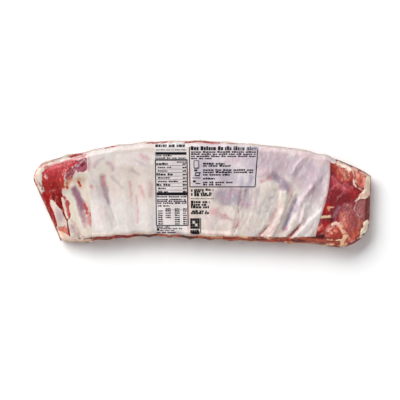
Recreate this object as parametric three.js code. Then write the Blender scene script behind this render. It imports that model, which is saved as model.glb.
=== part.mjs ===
// St Louis style pork spareribs: one trimmed rack, vacuum packed bone side up in a clear shrink bag,
// with the frosted print panel of the bag lying over the bone side.
//
// Millimetres, +Z up. +X runs along the rack towards the loose flap of meat, +Y runs across it towards
// the long arched edge. The origin is on the table, under the middle of the rack's plan.

import * as THREE from "three";

const { clamp, lerp } = THREE.MathUtils;

// The slab of ribs
const SLAB_THICKNESS = 27;
const NARROW_END_DROP = 6;
const BROAD_END_DROP = 3;
const BONE_SIDE_HOLLOW = 2.2;
const END_TAPER_SHARE = 0.16;

// The plan: both long edges as [x, y], from the narrow end to the flap end
const NEAR_EDGE = [
  [-190, -65.6],
  [-170, -67],
  [-126, -63.8],
  [-95, -60.6],
  [-60, -59.6],
  [0, -63],
  [90, -67.4],
  [150, -70],
  [172, -73.6],
  [184, -75],
];
const FAR_EDGE = [
  [-215.5, 41.5],
  [-205, 45.6],
  [-180, 52],
  [-155, 57.6],
  [-132, 63],
  [-100, 67.4],
  [-70, 70.4],
  [-8, 71.8],
  [50, 68.6],
  [132, 60.4],
  [182, 46.6],
  [206, 36.8],
];

// Where the narrow end, the panel's two ends, the middle and the flap end cross those edges
const STATIONS = [
  { u: 0, near: -192, far: -215.5 },
  { u: 0.143, near: -147, far: -156.5 },
  { u: 0.5, near: 2, far: 5 },
  { u: 0.851, near: 151, far: 172.5 },
  { u: 1, near: 184, far: 206 },
];
const NARROW_END_BULGE = 18;
const NARROW_END_PEAK = 0.76;
const NARROW_END_SWEEP = 1.1;
const NARROW_END_SPREAD = 1.5;
const FLAP_END_BULGE = 36;
const FLAP_END_SQUARENESS = 0.28;
const FLAP_END_SLOPE = 0.31;
const FLAP_END_SLOPES_FROM_V = 0.3;
const FLAP_END_SLOPES_TO_V = 0.9;
const FLAP_END_CORNER = 0.12;
const FLAP_END_CORNER_POWER = 1.3;
const PANEL_END_BOW = 5.8;
const PANEL_END_BOW_MIDDLE_V = 0.6;
const PANEL_END_BOW_HALF_V = 0.5;
const PANEL_END_BOW_FROM_U = 0.6;

// The rounded rim of the bag
const RIM_HEIGHT = 10;
const TOP_ROUNDING = 10;
const RIM_SCALLOP = 1.2;
const BASE_RINGS = [
  { inset: 1.2, height: 5 },
  { inset: 4, height: 1.4 },
  { inset: 8, height: 0 },
];

// The rib bones under the membrane
const RIB_COUNT = 12;
const FIRST_RIB_X = -199;
const RIB_SPACING = 31.2;
const RIB_RISE_NARROW_END = 1.1;
const RIB_RISE_FLAP_END = 2.3;
const RIB_LEAN_PER_MM = 0.00208;
const RIB_LEAN_AT_MIDDLE = 0.117;
const RIB_SHARPNESS = 1.3;
const RIB_UNEVENNESS = 0.7;
const RIB_FADE_FROM_Y = 15;
const RIB_FADE_TO_Y = 62;
const RIB_LEFT_AT_FAR_EDGE = 0.35;

// Creases and folds where the bag shrank over the ribs: positive ones stand up, negative ones are grooves
const FOLDS = [
  { from: [112, 0], to: [108, -28], rise: 1.9, halfWidth: 9 },
  { from: [108, -28], to: [92, -60], rise: 1.5, halfWidth: 8 },
  { from: [147, 6], to: [131, -16], rise: 1.6, halfWidth: 6 },
  { from: [131, -16], to: [117, -50], rise: 1.4, halfWidth: 7 },
  { from: [138, -18], to: [134, -42], rise: 1.2, halfWidth: 5 },
  { from: [160, -26], to: [130, -56], rise: 1.5, halfWidth: 7 },
  { from: [128, -6], to: [111, -48], rise: -1.6, halfWidth: 5.5 },
  { from: [133, -44], to: [116, -62], rise: -2.2, halfWidth: 5 },
  { from: [88, -46], to: [73, -62], rise: -1.4, halfWidth: 4.5 },
  { from: [138, 47], to: [122, 28], rise: 0.8, halfWidth: 6 },
  { from: [130, 30], to: [122, 12], rise: -0.6, halfWidth: 6 },
  { from: [158, 20], to: [145, 2], rise: 0.9, halfWidth: 6 },
  { from: [54, 2], to: [41, -60], rise: -0.7, halfWidth: 4 },
  { from: [-134, 20], to: [-118, -44], rise: -1.0, halfWidth: 7 },
];

// Muscle and fat that swell under the film
const SWELLINGS = [
  { at: [92, 6], radii: [13, 16], rise: 2.2 },
  { at: [82, 26], radii: [12, 8], rise: 1.2 },
  { at: [98, 18], radii: [14, 12], rise: -1.8 },
  { at: [-190, 18], radii: [34, 22], rise: 3.0 },
  { at: [-183, 22], radii: [9, 13], rise: 1.6 },
  { at: [192, 4], radii: [34, 34], rise: 3.5 },
  { at: [206, -32], radii: [22, 28], rise: 2.4 },
  { at: [176, -40], radii: [16, 16], rise: -1.8 },
  { at: [-196, -30], radii: [9, 22], rise: 1.8 },
];

// The frosted print panel: its share of the slab's length, how far it stays from the near edge at each u and from
// the far edge, its thickness and its clearance
const PANEL_FROM_U = 0.143;
const PANEL_TO_U = 0.851;
const PANEL_NEAR_INSET = [
  [0.143, 6],
  [0.391, 4],
  [0.695, 7.2],
  [0.806, 8.8],
  [0.851, 10.8],
];
const PANEL_FAR_INSET = 3.6;
const PANEL_THICKNESS = 0.5;
const PANEL_CLEARANCE = 0.35;

// Facets
const END_COLUMNS = 12;
const PANEL_COLUMNS = 62;
const FLAP_COLUMNS = 12;
const ROWS = 26;
const RIM_ROW_SHARE = 0.4;
const ROW_CROWDING = 0.45;
const COLUMN_CROWDING = 0.3;

/** Falls smoothly from 1 at 0 to 0 at 1 and beyond. */
function mound(t) {
  const inside = Math.max(0, 1 - t * t);
  return inside * inside;
}

/** A quarter circle: 0 at the edge, 1 from one radius inwards. */
function quarterRound(distance, radius) {
  const t = 1 - clamp(distance / radius, 0, 1);
  return Math.sqrt(1 - t * t);
}

/** The y of a smooth curve through points in order of rising x. */
function curveY(points, x) {
  const last = points.length - 1;
  let i = 0;
  while (i < last - 1 && x > points[i + 1][0]) i += 1;
  const slopeAt = (k) => {
    const before = points[Math.max(k - 1, 0)];
    const after = points[Math.min(k + 1, last)];
    return (after[1] - before[1]) / (after[0] - before[0]);
  };
  const span = points[i + 1][0] - points[i][0];
  const t = clamp((x - points[i][0]) / span, 0, 1);
  const start = points[i][1] * (1 + 2 * t) * (1 - t) ** 2;
  const end = points[i + 1][1] * t * t * (3 - 2 * t);
  const startSlope = slopeAt(i) * span * t * (1 - t) ** 2;
  const endSlope = slopeAt(i + 1) * span * t * t * (t - 1);
  return start + end + startSlope + endSlope;
}

/** Where station u crosses the near or the far edge. */
function stationX(u, edge) {
  let i = 0;
  while (i < STATIONS.length - 2 && u > STATIONS[i + 1].u) i += 1;
  const a = STATIONS[i];
  const b = STATIONS[i + 1];
  return lerp(a[edge], b[edge], (u - a.u) / (b.u - a.u));
}

/** How far the narrow end stands out, from the near edge at v 0 to the far edge at v 1. */
function narrowEndBulge(v) {
  if (v < NARROW_END_PEAK) return (v / NARROW_END_PEAK) ** NARROW_END_SWEEP;
  return 1 - ((v - NARROW_END_PEAK) / (1 - NARROW_END_PEAK)) ** 2;
}

/** How far the squarer flap end stands out. */
function flapEndBulge(v) {
  const rise = quarterRound(v, FLAP_END_SQUARENESS);
  const along = (v - FLAP_END_SLOPES_FROM_V) / (FLAP_END_SLOPES_TO_V - FLAP_END_SLOPES_FROM_V);
  const slope = 1 - FLAP_END_SLOPE * clamp(along, 0, 1);
  const fromCorner = clamp((1 - v) / FLAP_END_CORNER, 0, 1);
  return rise * slope * (1 - (1 - fromCorner) ** FLAP_END_CORNER_POWER);
}

/** The rib coordinate of a point: a whole number on the line of a rib. */
function ribNumber(x, y) {
  const lean = RIB_LEAN_AT_MIDDLE + RIB_LEAN_PER_MM * x;
  return (x - lean * y - FIRST_RIB_X) / RIB_SPACING;
}

/** How strongly one rib shows, from a fixed draw for each rib. */
function ribStrength(number) {
  const draw = Math.sin((number + 1) * 12.9898) * 43758.5453;
  return 1 - RIB_UNEVENNESS * (draw - Math.floor(draw));
}

/** About 1 along each rib bone and 0 between two, and 0 past the last bone. */
function ribRidge(x, y) {
  const number = ribNumber(x, y);
  const onRack = mound(clamp(Math.abs(number - (RIB_COUNT - 1) / 2) - RIB_COUNT / 2 + 0.5, 0, 1));
  const ridge = (0.5 + 0.5 * Math.cos(2 * Math.PI * number)) ** RIB_SHARPNESS;
  const buried = clamp((y - RIB_FADE_FROM_Y) / (RIB_FADE_TO_Y - RIB_FADE_FROM_Y), 0, 1);
  return onRack * ridge * ribStrength(Math.round(number)) * lerp(1, RIB_LEFT_AT_FAR_EDGE, buried);
}

/** The plan of the slab: u runs along it and v across it, both from 0 to 1. */
function planPoint(u, v) {
  const near = stationX(u, "near");
  const far = stationX(u, "far");
  const toNarrowEnd = clamp(1 - u / PANEL_FROM_U, 0, 1) ** NARROW_END_SPREAD;
  const pastPanel = clamp((u - PANEL_TO_U) / (1 - PANEL_TO_U), 0, 1);
  const bowSpan = PANEL_TO_U - PANEL_END_BOW_FROM_U;
  const intoPanel = clamp((u - PANEL_END_BOW_FROM_U) / bowSpan, 0, 1) ** 2;
  const bow = PANEL_END_BOW * mound((v - PANEL_END_BOW_MIDDLE_V) / PANEL_END_BOW_HALF_V) * intoPanel;
  const x =
    lerp(near, far, v) -
    NARROW_END_BULGE * narrowEndBulge(v) * toNarrowEnd +
    bow * (1 - pastPanel) +
    FLAP_END_BULGE * flapEndBulge(v) * pastPanel;
  const nearY = curveY(NEAR_EDGE, near);
  const farY = curveY(FAR_EDGE, far);
  const nearScallop = RIM_SCALLOP * (2 * ribRidge(near, nearY) - 1);
  const farScallop = RIM_SCALLOP * (4 * ribRidge(far, farY) - 1);
  return new THREE.Vector2(x, lerp(nearY - nearScallop, farY + farScallop, v));
}

/** The height that one fold adds at a point. */
function foldRise(fold, x, y) {
  const [x0, y0] = fold.from;
  const along = new THREE.Vector2(fold.to[0] - x0, fold.to[1] - y0);
  const t = clamp(((x - x0) * along.x + (y - y0) * along.y) / along.lengthSq(), 0, 1);
  const away = Math.hypot(x - x0 - t * along.x, y - y0 - t * along.y);
  return fold.rise * mound(away / fold.halfWidth);
}

/** The height that one swelling adds at a point. */
function swellingRise(swelling, x, y) {
  const dx = (x - swelling.at[0]) / swelling.radii[0];
  const dy = (y - swelling.at[1]) / swelling.radii[1];
  return swelling.rise * mound(Math.hypot(dx, dy));
}

/** The height of the bone side over the table, rim rounding included. */
function topHeight(u, v) {
  const p = planPoint(u, v);
  const narrowEnd = NARROW_END_DROP * mound(u / END_TAPER_SHARE);
  const broadEnd = BROAD_END_DROP * mound((1 - u) / END_TAPER_SHARE);
  const hollow = BONE_SIDE_HOLLOW * mound(Math.abs(2 * v - 1));
  const ribs = ribRidge(p.x, p.y) * lerp(RIB_RISE_NARROW_END, RIB_RISE_FLAP_END, u);
  const folds = FOLDS.reduce((sum, fold) => sum + foldRise(fold, p.x, p.y), 0);
  const swellings = SWELLINGS.reduce((sum, swelling) => sum + swellingRise(swelling, p.x, p.y), 0);
  const height = SLAB_THICKNESS - narrowEnd - broadEnd - hollow + ribs + folds + swellings;
  const rim =
    quarterRound(p.distanceTo(planPoint(u, 0)), TOP_ROUNDING) *
    quarterRound(p.distanceTo(planPoint(u, 1)), TOP_ROUNDING) *
    quarterRound(p.distanceTo(planPoint(0, v)), TOP_ROUNDING) *
    quarterRound(p.distanceTo(planPoint(1, v)), TOP_ROUNDING);
  return RIM_HEIGHT + (height - RIM_HEIGHT) * rim;
}

/** Steps from 0 to 1 that crowd together towards both ends. */
function crowdedSteps(count, crowding) {
  return Array.from({ length: count + 1 }, (_, i) => {
    const even = i / count;
    return lerp(even, 0.5 - 0.5 * Math.cos(Math.PI * even), crowding);
  });
}

/** The stations of the facets: the narrow end, the panel, and the flap end. */
function stationSteps() {
  const narrowEnd = crowdedSteps(END_COLUMNS, COLUMN_CROWDING).map((t) => t * PANEL_FROM_U);
  const panel = crowdedSteps(PANEL_COLUMNS, 0).map((t) => lerp(PANEL_FROM_U, PANEL_TO_U, t));
  const flap = crowdedSteps(FLAP_COLUMNS, COLUMN_CROWDING).map((t) => lerp(PANEL_TO_U, 1, t));
  return [...narrowEnd, ...panel.slice(1), ...flap.slice(1)];
}

/** The rows of the facets at a station, with one on each long edge of the panel. */
function rowSteps(u) {
  const width = planPoint(0.5, 1).distanceTo(planPoint(0.5, 0));
  const panelFrom = curveY(PANEL_NEAR_INSET, u) / width;
  const panelTo = 1 - PANEL_FAR_INSET / width;
  const inner = crowdedSteps(ROWS - 4, ROW_CROWDING).map((t) => lerp(panelFrom, panelTo, t));
  return [0, panelFrom * RIM_ROW_SHARE, ...inner, lerp(1, panelTo, RIM_ROW_SHARE), 1];
}

/** A closed mesh geometry from points and triangles. */
function closedGeometry(points, triangles) {
  const geometry = new THREE.BufferGeometry().setFromPoints(points);
  geometry.setIndex(triangles);
  geometry.computeVertexNormals();
  return geometry;
}

/** The two triangles of a four-sided facet, its corners listed anticlockwise from outside. */
function quad(a, b, c, d) {
  return [a, b, c, a, c, d];
}

/** The corners of a grid's border, anticlockwise from above, as [column, row]. */
function borderOf(columns, rows) {
  const border = [];
  for (let i = 0; i < columns; i += 1) border.push([i, 0]);
  for (let j = 0; j < rows; j += 1) border.push([columns, j]);
  for (let i = columns; i > 0; i -= 1) border.push([i, rows]);
  for (let j = rows; j > 0; j -= 1) border.push([0, j]);
  return border;
}

/** The rack in its bag: the bone side as a grid, the rim turned under in rings, and a flat base. */
function sealedRackGeometry(us, rowsAt) {
  const columns = us.length - 1;
  const rows = rowsAt[0].length - 1;
  const points = [];
  const triangles = [];
  for (let j = 0; j <= rows; j += 1) {
    us.forEach((u, i) => {
      const v = rowsAt[i][j];
      const p = planPoint(u, v);
      points.push(new THREE.Vector3(p.x, p.y, topHeight(u, v)));
    });
  }
  const at = (i, j) => j * (columns + 1) + i;
  for (let j = 0; j < rows; j += 1) {
    for (let i = 0; i < columns; i += 1) {
      triangles.push(...quad(at(i, j), at(i + 1, j), at(i + 1, j + 1), at(i, j + 1)));
    }
  }
  const border = borderOf(columns, rows);
  const width = planPoint(0.5, 1).distanceTo(planPoint(0.5, 0));
  const length = planPoint(1, 0.5).distanceTo(planPoint(0, 0.5));
  let outer = border.map(([i, j]) => at(i, j));
  for (const ring of BASE_RINGS) {
    const first = points.length;
    for (const [i, j] of border) {
      const u = lerp(ring.inset / length, 1 - ring.inset / length, us[i]);
      const v = lerp(ring.inset / width, 1 - ring.inset / width, rowsAt[i][j]);
      const p = planPoint(u, v);
      points.push(new THREE.Vector3(p.x, p.y, ring.height));
    }
    const inner = border.map((_, k) => first + k);
    for (let k = 0; k < border.length; k += 1) {
      const next = (k + 1) % border.length;
      triangles.push(...quad(outer[k], inner[k], inner[next], outer[next]));
    }
    outer = inner;
  }
  const base = outer.map((k) => new THREE.Vector2(points[k].x, points[k].y));
  for (const [a, b, c] of THREE.ShapeUtils.triangulateShape(base, [])) {
    triangles.push(outer[a], outer[c], outer[b]);
  }
  return closedGeometry(points, triangles);
}

/** The frosted print panel: a thin wavy sheet that follows the bone side facet by facet. */
function printPanelGeometry(us, rowsAt) {
  const from = us.findIndex((u) => Math.abs(u - PANEL_FROM_U) < 1e-9);
  const to = us.findIndex((u) => Math.abs(u - PANEL_TO_U) < 1e-9);
  const columns = to - from;
  const rows = rowsAt[0].length - 5;
  const points = [];
  for (const lift of [PANEL_CLEARANCE, PANEL_CLEARANCE + PANEL_THICKNESS]) {
    for (let j = 2; j <= rows + 2; j += 1) {
      for (let i = from; i <= to; i += 1) {
        const v = rowsAt[i][j];
        const p = planPoint(us[i], v);
        points.push(new THREE.Vector3(p.x, p.y, topHeight(us[i], v) + lift));
      }
    }
  }
  const under = (i, j) => j * (columns + 1) + i;
  const over = (i, j) => under(i, j) + (columns + 1) * (rows + 1);
  const triangles = [];
  for (let j = 0; j < rows; j += 1) {
    for (let i = 0; i < columns; i += 1) {
      triangles.push(...quad(over(i, j), over(i + 1, j), over(i + 1, j + 1), over(i, j + 1)));
      const [a, b, c, d] = [under(i, j), under(i + 1, j), under(i + 1, j + 1), under(i, j + 1)];
      triangles.push(a, c, b, a, d, c);
    }
  }
  const border = borderOf(columns, rows);
  border.forEach(([i, j], k) => {
    const [m, n] = border[(k + 1) % border.length];
    triangles.push(...quad(under(i, j), under(m, n), over(m, n), over(i, j)));
  });
  return closedGeometry(points, triangles);
}

/** A named piece with its own material, moved so that the plan is centred on the origin. */
function piece(name, geometry, centre, look) {
  geometry.translate(-centre.x, -centre.y, 0);
  const mesh = new THREE.Mesh(geometry, new THREE.MeshStandardMaterial(look));
  mesh.name = name;
  return mesh;
}

const us = stationSteps();
const rowsAt = us.map(rowSteps);
const rackGeometry = sealedRackGeometry(us, rowsAt);
rackGeometry.computeBoundingBox();
const centre = rackGeometry.boundingBox.getCenter(new THREE.Vector3());

const spareribs = new THREE.Group();
spareribs.add(
  piece("sealed_rack", rackGeometry, centre, { color: 0xb4585a, roughness: 0.25, metalness: 0 }),
  piece("print_panel", printPanelGeometry(us, rowsAt), centre, { color: 0xe0d8dc, roughness: 0.4, metalness: 0 }),
);

export default spareribs;
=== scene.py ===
"""St Louis style pork spareribs, vacuum packed bone side up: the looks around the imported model.

Lengths are in millimetres in the rack's own plan, with +X along the rack towards the loose flap of
meat, +Y across it towards the long arched edge and +Z up. A mesh turns them into metres when it is
laid out. Colours are sRGB hex values.
"""

from __future__ import annotations

import logging
import math
from dataclasses import dataclass, field
from enum import Enum

import bpy
import numpy as np
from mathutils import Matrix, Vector


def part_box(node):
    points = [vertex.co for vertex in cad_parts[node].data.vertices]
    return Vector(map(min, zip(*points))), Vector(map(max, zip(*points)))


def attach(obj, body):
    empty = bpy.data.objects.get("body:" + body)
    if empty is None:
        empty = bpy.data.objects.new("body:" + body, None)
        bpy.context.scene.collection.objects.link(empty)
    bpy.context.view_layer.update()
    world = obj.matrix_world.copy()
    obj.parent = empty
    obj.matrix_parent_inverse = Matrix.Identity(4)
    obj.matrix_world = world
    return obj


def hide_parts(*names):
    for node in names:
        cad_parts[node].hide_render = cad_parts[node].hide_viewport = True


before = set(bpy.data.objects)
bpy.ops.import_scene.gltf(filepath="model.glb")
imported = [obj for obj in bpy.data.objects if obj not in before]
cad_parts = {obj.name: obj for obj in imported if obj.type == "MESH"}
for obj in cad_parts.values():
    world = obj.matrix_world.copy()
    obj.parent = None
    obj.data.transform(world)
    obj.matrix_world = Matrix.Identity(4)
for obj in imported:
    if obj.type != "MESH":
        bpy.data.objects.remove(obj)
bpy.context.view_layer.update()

LOG = logging.getLogger("spareribs")
MM = 0.001
BODY = "root"
ATTRIBUTE_FIELDS = {"FLOAT": "value", "FLOAT_COLOR": "color", "FLOAT_VECTOR": "vector"}
SIDES = ("near", "far", "narrow", "flap")
# Nearly all of a noise texture's values lie in this range
NOISE_RANGE = (0.3, 0.7)

Point = tuple[float, float]
Triple = tuple[float, float, float]
Points = tuple[Point, ...]
Steps = tuple[tuple[float, ...], tuple[float, ...]]
Array = np.ndarray
Socket = bpy.types.NodeSocket
Piece = bpy.types.Object
Material = bpy.types.Material


def linear(hex_colour: str) -> Triple:
    """Turns six hex digits, an sRGB colour with its red first, into linear red, green and blue."""
    parts = (int(hex_colour[i : i + 2], 16) / 255 for i in (0, 2, 4))
    return tuple(c / 12.92 if c <= 0.04045 else ((c + 0.055) / 1.055) ** 2.4 for c in parts)


def mound(t: Array) -> Array:
    """Falls smoothly from 1 at 0 to 0 at 1 and beyond."""
    return np.maximum(0, 1 - t * t) ** 2


def ramp(t: Array) -> Array:
    """Rises smoothly from 0 at 0 to 1 at 1."""
    t = np.clip(t, 0, 1)
    return t * t * (3 - 2 * t)


def rise(value: Array, low: float, high: float) -> Array:
    """Rises smoothly from 0 where the value is low to 1 where it is high."""
    return ramp((value - low) / (high - low))


def part_way(value: Array, low: float, high: float) -> Array:
    """How far the value is on the way from low to high, from 0 to 1."""
    return np.clip((value - low) / (high - low), 0, 1)


def quarter_round(distance: Array, radius: float) -> Array:
    """A quarter circle: 0 at the edge, 1 from one radius inwards."""
    t = 1 - np.clip(distance / radius, 0, 1)
    return np.sqrt(1 - t * t)


def along_path(x: Array, y: Array, path: Points) -> tuple[Array, Array]:
    """Measures points against a path.

    Args:
        x: Where the points are along the rack.
        y: Where they are across it.
        path: The path's corners.

    Returns:
        How far each point is from the path, and how far along it from 0 to 1.
    """
    spans = [math.dist(a, b) for a, b in zip(path, path[1:])]
    away = np.full(x.shape, np.inf)
    share = np.zeros(x.shape)
    walked = 0.0
    for (x0, y0), (x1, y1), span in zip(path, path[1:], spans):
        t = np.clip(((x - x0) * (x1 - x0) + (y - y0) * (y1 - y0)) / span**2, 0, 1)
        distance = np.hypot(x - x0 - t * (x1 - x0), y - y0 - t * (y1 - y0))
        share = np.where(distance < away, (walked + t * span) / sum(spans), share)
        away = np.minimum(away, distance)
        walked += span
    return away, share


class Noise:
    """Smooth noise from a seeded table, so that it is the same on each run."""

    def __init__(self, seed: int) -> None:
        """Fills the table.

        Args:
            seed: The seed of its random draw.
        """
        draw = np.random.default_rng(seed)
        self._order = draw.permutation(1024)
        self._value = draw.uniform(-1, 1, 1024)

    def _corner(self, i: Array, j: Array, k: Array) -> Array:
        """The table's value at a corner of the lattice."""
        order = self._order
        return self._value[order[(order[(order[i & 1023] + j) & 1023] + k) & 1023]]

    def smooth(self, x: Array, y: Array, z: Array) -> Array:
        """One layer of noise.

        Args:
            x: Coordinates in lattice cells.
            y: As x.
            z: As x.

        Returns:
            Values from -1 to 1.
        """
        i, j, k = (np.floor(c).astype(int) for c in (x, y, z))
        fx, fy, fz = ramp(x - i), ramp(y - j), ramp(z - k)
        total = np.zeros(x.shape)
        for di, wx in ((0, 1 - fx), (1, fx)):
            for dj, wy in ((0, 1 - fy), (1, fy)):
                for dk, wz in ((0, 1 - fz), (1, fz)):
                    total += wx * wy * wz * self._corner(i + di, j + dj, k + dk)
        return total

    def fractal(self, place: Array, size: float | Triple, octaves: int = 3) -> Array:
        """Layers of noise, each half as wide and half as strong as the one before.

        Args:
            place: Points in mm, one a row.
            size: The width of the coarsest blotches in mm, or one width for each axis.
            octaves: How many layers.

        Returns:
            Values mostly from -1 to 1.
        """
        cells = place / np.broadcast_to(np.asarray(size, float), 3)
        total = np.zeros(len(place))
        for octave in range(octaves):
            scaled = cells * 2**octave + 37.7 * octave
            total += self.smooth(scaled[:, 0], scaled[:, 1], scaled[:, 2]) / 2**octave
        return total


@dataclass(frozen=True)
class Fold:
    """A ridge or a groove of the bag along a path, its sizes in mm."""

    path: Points
    rise: float
    half_width: float

    def height(self, x: Array, y: Array) -> Array:
        """The height that the fold adds at each point."""
        away, _ = along_path(x, y, self.path)
        return self.rise * mound(away / self.half_width)


@dataclass(frozen=True)
class Swelling:
    """An oval lump or hollow under the film, its sizes in mm."""

    at: Point
    radii: Point
    rise: float

    def height(self, x: Array, y: Array) -> Array:
        """The height that the swelling adds at each point."""
        return self.rise * mound(np.hypot((x - self.at[0]) / self.radii[0], (y - self.at[1]) / self.radii[1]))


class Edge(Enum):
    """The two long edges of the rack."""

    NEAR = "near"
    FAR = "far"


@dataclass(frozen=True)
class RackForm:
    """The rack's form in its bag, from the same named sizes as the solids.

    u runs along the rack from the narrow end and v across it from the near edge, both from 0 to 1.
    """

    thickness: float = 27
    narrow_end_drop: float = 6
    broad_end_drop: float = 3
    hollow: float = 2.2
    end_taper_share: float = 0.16
    near_edge: Points = (
        (-190, -65.6), (-170, -67), (-126, -63.8), (-95, -60.6), (-60, -59.6),
        (0, -63), (90, -67.4), (150, -70), (172, -73.6), (184, -75),
    )
    far_edge: Points = (
        (-215.5, 41.5), (-205, 45.6), (-180, 52), (-155, 57.6), (-132, 63), (-100, 67.4), (-70, 70.4),
        (-8, 71.8), (50, 68.6), (132, 60.4), (182, 46.6), (206, 36.8),
    )
    station_u: tuple[float, ...] = (0, 0.143, 0.5, 0.851, 1)
    station_near: tuple[float, ...] = (-192, -147, 2, 151, 184)
    station_far: tuple[float, ...] = (-215.5, -156.5, 5, 172.5, 206)
    narrow_end_bulge: float = 18
    narrow_end_peak: float = 0.76
    narrow_end_sweep: float = 1.1
    narrow_end_spread: float = 1.5
    flap_end_bulge: float = 36
    flap_end_squareness: float = 0.28
    flap_end_slope: float = 0.31
    flap_end_slopes_v: Point = (0.3, 0.9)
    flap_end_corner: float = 0.12
    flap_end_corner_power: float = 1.3
    panel_end_bow: float = 5.8
    panel_end_bow_v: Point = (0.6, 0.5)
    panel_end_bow_from_u: float = 0.6
    rim_height: float = 10
    base_inset: float = 8
    top_rounding: float = 10
    rim_scallop: float = 1.2
    rib_count: int = 12
    first_rib_x: float = -199
    crowding: Steps = ((0, 0.22, 0.78, 1), (0, 0.143, 0.851, 1))
    rib_spacing: float = 31.2
    rib_rise: Point = (1.1, 2.3)
    rib_lean: Point = (0.117, 0.00208)
    rib_sharpness: float = 1.3
    rib_unevenness: float = 0.7
    rib_fade_y: Point = (15, 62)
    rib_left_at_far_edge: float = 0.35
    panel_u: Point = (0.143, 0.851)
    panel_near_inset: Points = ((0.143, 6), (0.391, 4), (0.695, 7.2), (0.806, 8.8), (0.851, 10.8))
    panel_far_inset: float = 3.6
    folds: tuple[Fold, ...] = (
        Fold(((112, 0), (108, -28)), 1.9, 9),
        Fold(((108, -28), (92, -60)), 1.5, 8),
        Fold(((147, 6), (131, -16)), 1.6, 6),
        Fold(((131, -16), (117, -50)), 1.4, 7),
        Fold(((138, -18), (134, -42)), 1.2, 5),
        Fold(((160, -26), (130, -56)), 1.5, 7),
        Fold(((128, -6), (111, -48)), -1.6, 5.5),
        Fold(((133, -44), (116, -62)), -2.2, 5),
        Fold(((88, -46), (73, -62)), -1.4, 4.5),
        Fold(((138, 47), (122, 28)), 0.8, 6),
        Fold(((130, 30), (122, 12)), -0.6, 6),
        Fold(((158, 20), (145, 2)), 0.9, 6),
        Fold(((54, 2), (41, -60)), -0.7, 4),
        Fold(((-134, 20), (-118, -44)), -1.0, 7),
    )
    swellings: tuple[Swelling, ...] = (
        Swelling((92, 6), (13, 16), 2.2),
        Swelling((82, 26), (12, 8), 1.2),
        Swelling((98, 18), (14, 12), -1.8),
        Swelling((-190, 18), (34, 22), 3.0),
        Swelling((-183, 22), (9, 13), 1.6),
        Swelling((192, 4), (34, 34), 3.5),
        Swelling((206, -32), (22, 28), 2.4),
        Swelling((176, -40), (16, 16), -1.8),
        Swelling((-196, -30), (9, 22), 1.8),
    )

    @staticmethod
    def curve(points: Points, x: Array) -> Array:
        """A smooth curve through points in order of rising x.

        Args:
            points: The points that it goes through.
            x: Where to read it.

        Returns:
            The curve's y at each x.
        """
        xs, ys = (np.array(c, float) for c in zip(*points))
        last = len(points) - 1
        before = np.maximum(np.arange(last + 1) - 1, 0)
        after = np.minimum(np.arange(last + 1) + 1, last)
        slopes = (ys[after] - ys[before]) / (xs[after] - xs[before])
        i = np.clip(np.searchsorted(xs, x) - 1, 0, last - 1)
        span = xs[i + 1] - xs[i]
        t = np.clip((x - xs[i]) / span, 0, 1)
        start = ys[i] * (1 + 2 * t) * (1 - t) ** 2 + slopes[i] * span * t * (1 - t) ** 2
        return start + ys[i + 1] * t * t * (3 - 2 * t) + slopes[i + 1] * span * t * t * (t - 1)

    def narrow_bulge(self, v: Array) -> Array:
        """How far the narrow end stands out at v, as a share of its greatest bulge."""
        rising = (np.minimum(v, self.narrow_end_peak) / self.narrow_end_peak) ** self.narrow_end_sweep
        return rising - (np.maximum(v - self.narrow_end_peak, 0) / (1 - self.narrow_end_peak)) ** 2

    def flap_bulge(self, v: Array) -> Array:
        """How far the squarer flap end stands out, as narrow_bulge does.

        Args:
            v: Shares across the rack.

        Returns:
            The share at each v.
        """
        slope = 1 - self.flap_end_slope * part_way(v, *self.flap_end_slopes_v)
        from_corner = np.clip((1 - v) / self.flap_end_corner, 0, 1)
        corner = 1 - (1 - from_corner) ** self.flap_end_corner_power
        return quarter_round(v, self.flap_end_squareness) * slope * corner

    def rib_number(self, x: Array, y: Array) -> Array:
        """The rib coordinate of a point: a whole number on the line of a rib."""
        lean = self.rib_lean[0] + self.rib_lean[1] * x
        return (x - lean * y - self.first_rib_x) / self.rib_spacing

    def rib_ridge(self, x: Array, y: Array) -> Array:
        """How much of a rib stands at each point.

        Args:
            x: Places along the rack.
            y: Places across it.

        Returns:
            About 1 along each bone, and 0 between two and past the last one.
        """
        number = self.rib_number(x, y)
        middle = (self.rib_count - 1) / 2
        on_rack = mound(np.clip(np.abs(number - middle) - self.rib_count / 2 + 0.5, 0, 1))
        ridge = (0.5 + 0.5 * np.cos(2 * np.pi * number)) ** self.rib_sharpness
        # Each rib's strength is drawn from its number, as in the solids
        draw = np.sin((np.floor(number + 0.5) + 1) * 12.9898) * 43758.5453
        strength = 1 - self.rib_unevenness * (draw - np.floor(draw))
        buried = (1 - self.rib_left_at_far_edge) * part_way(y, *self.rib_fade_y)
        return on_rack * ridge * strength * (1 - buried)

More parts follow.
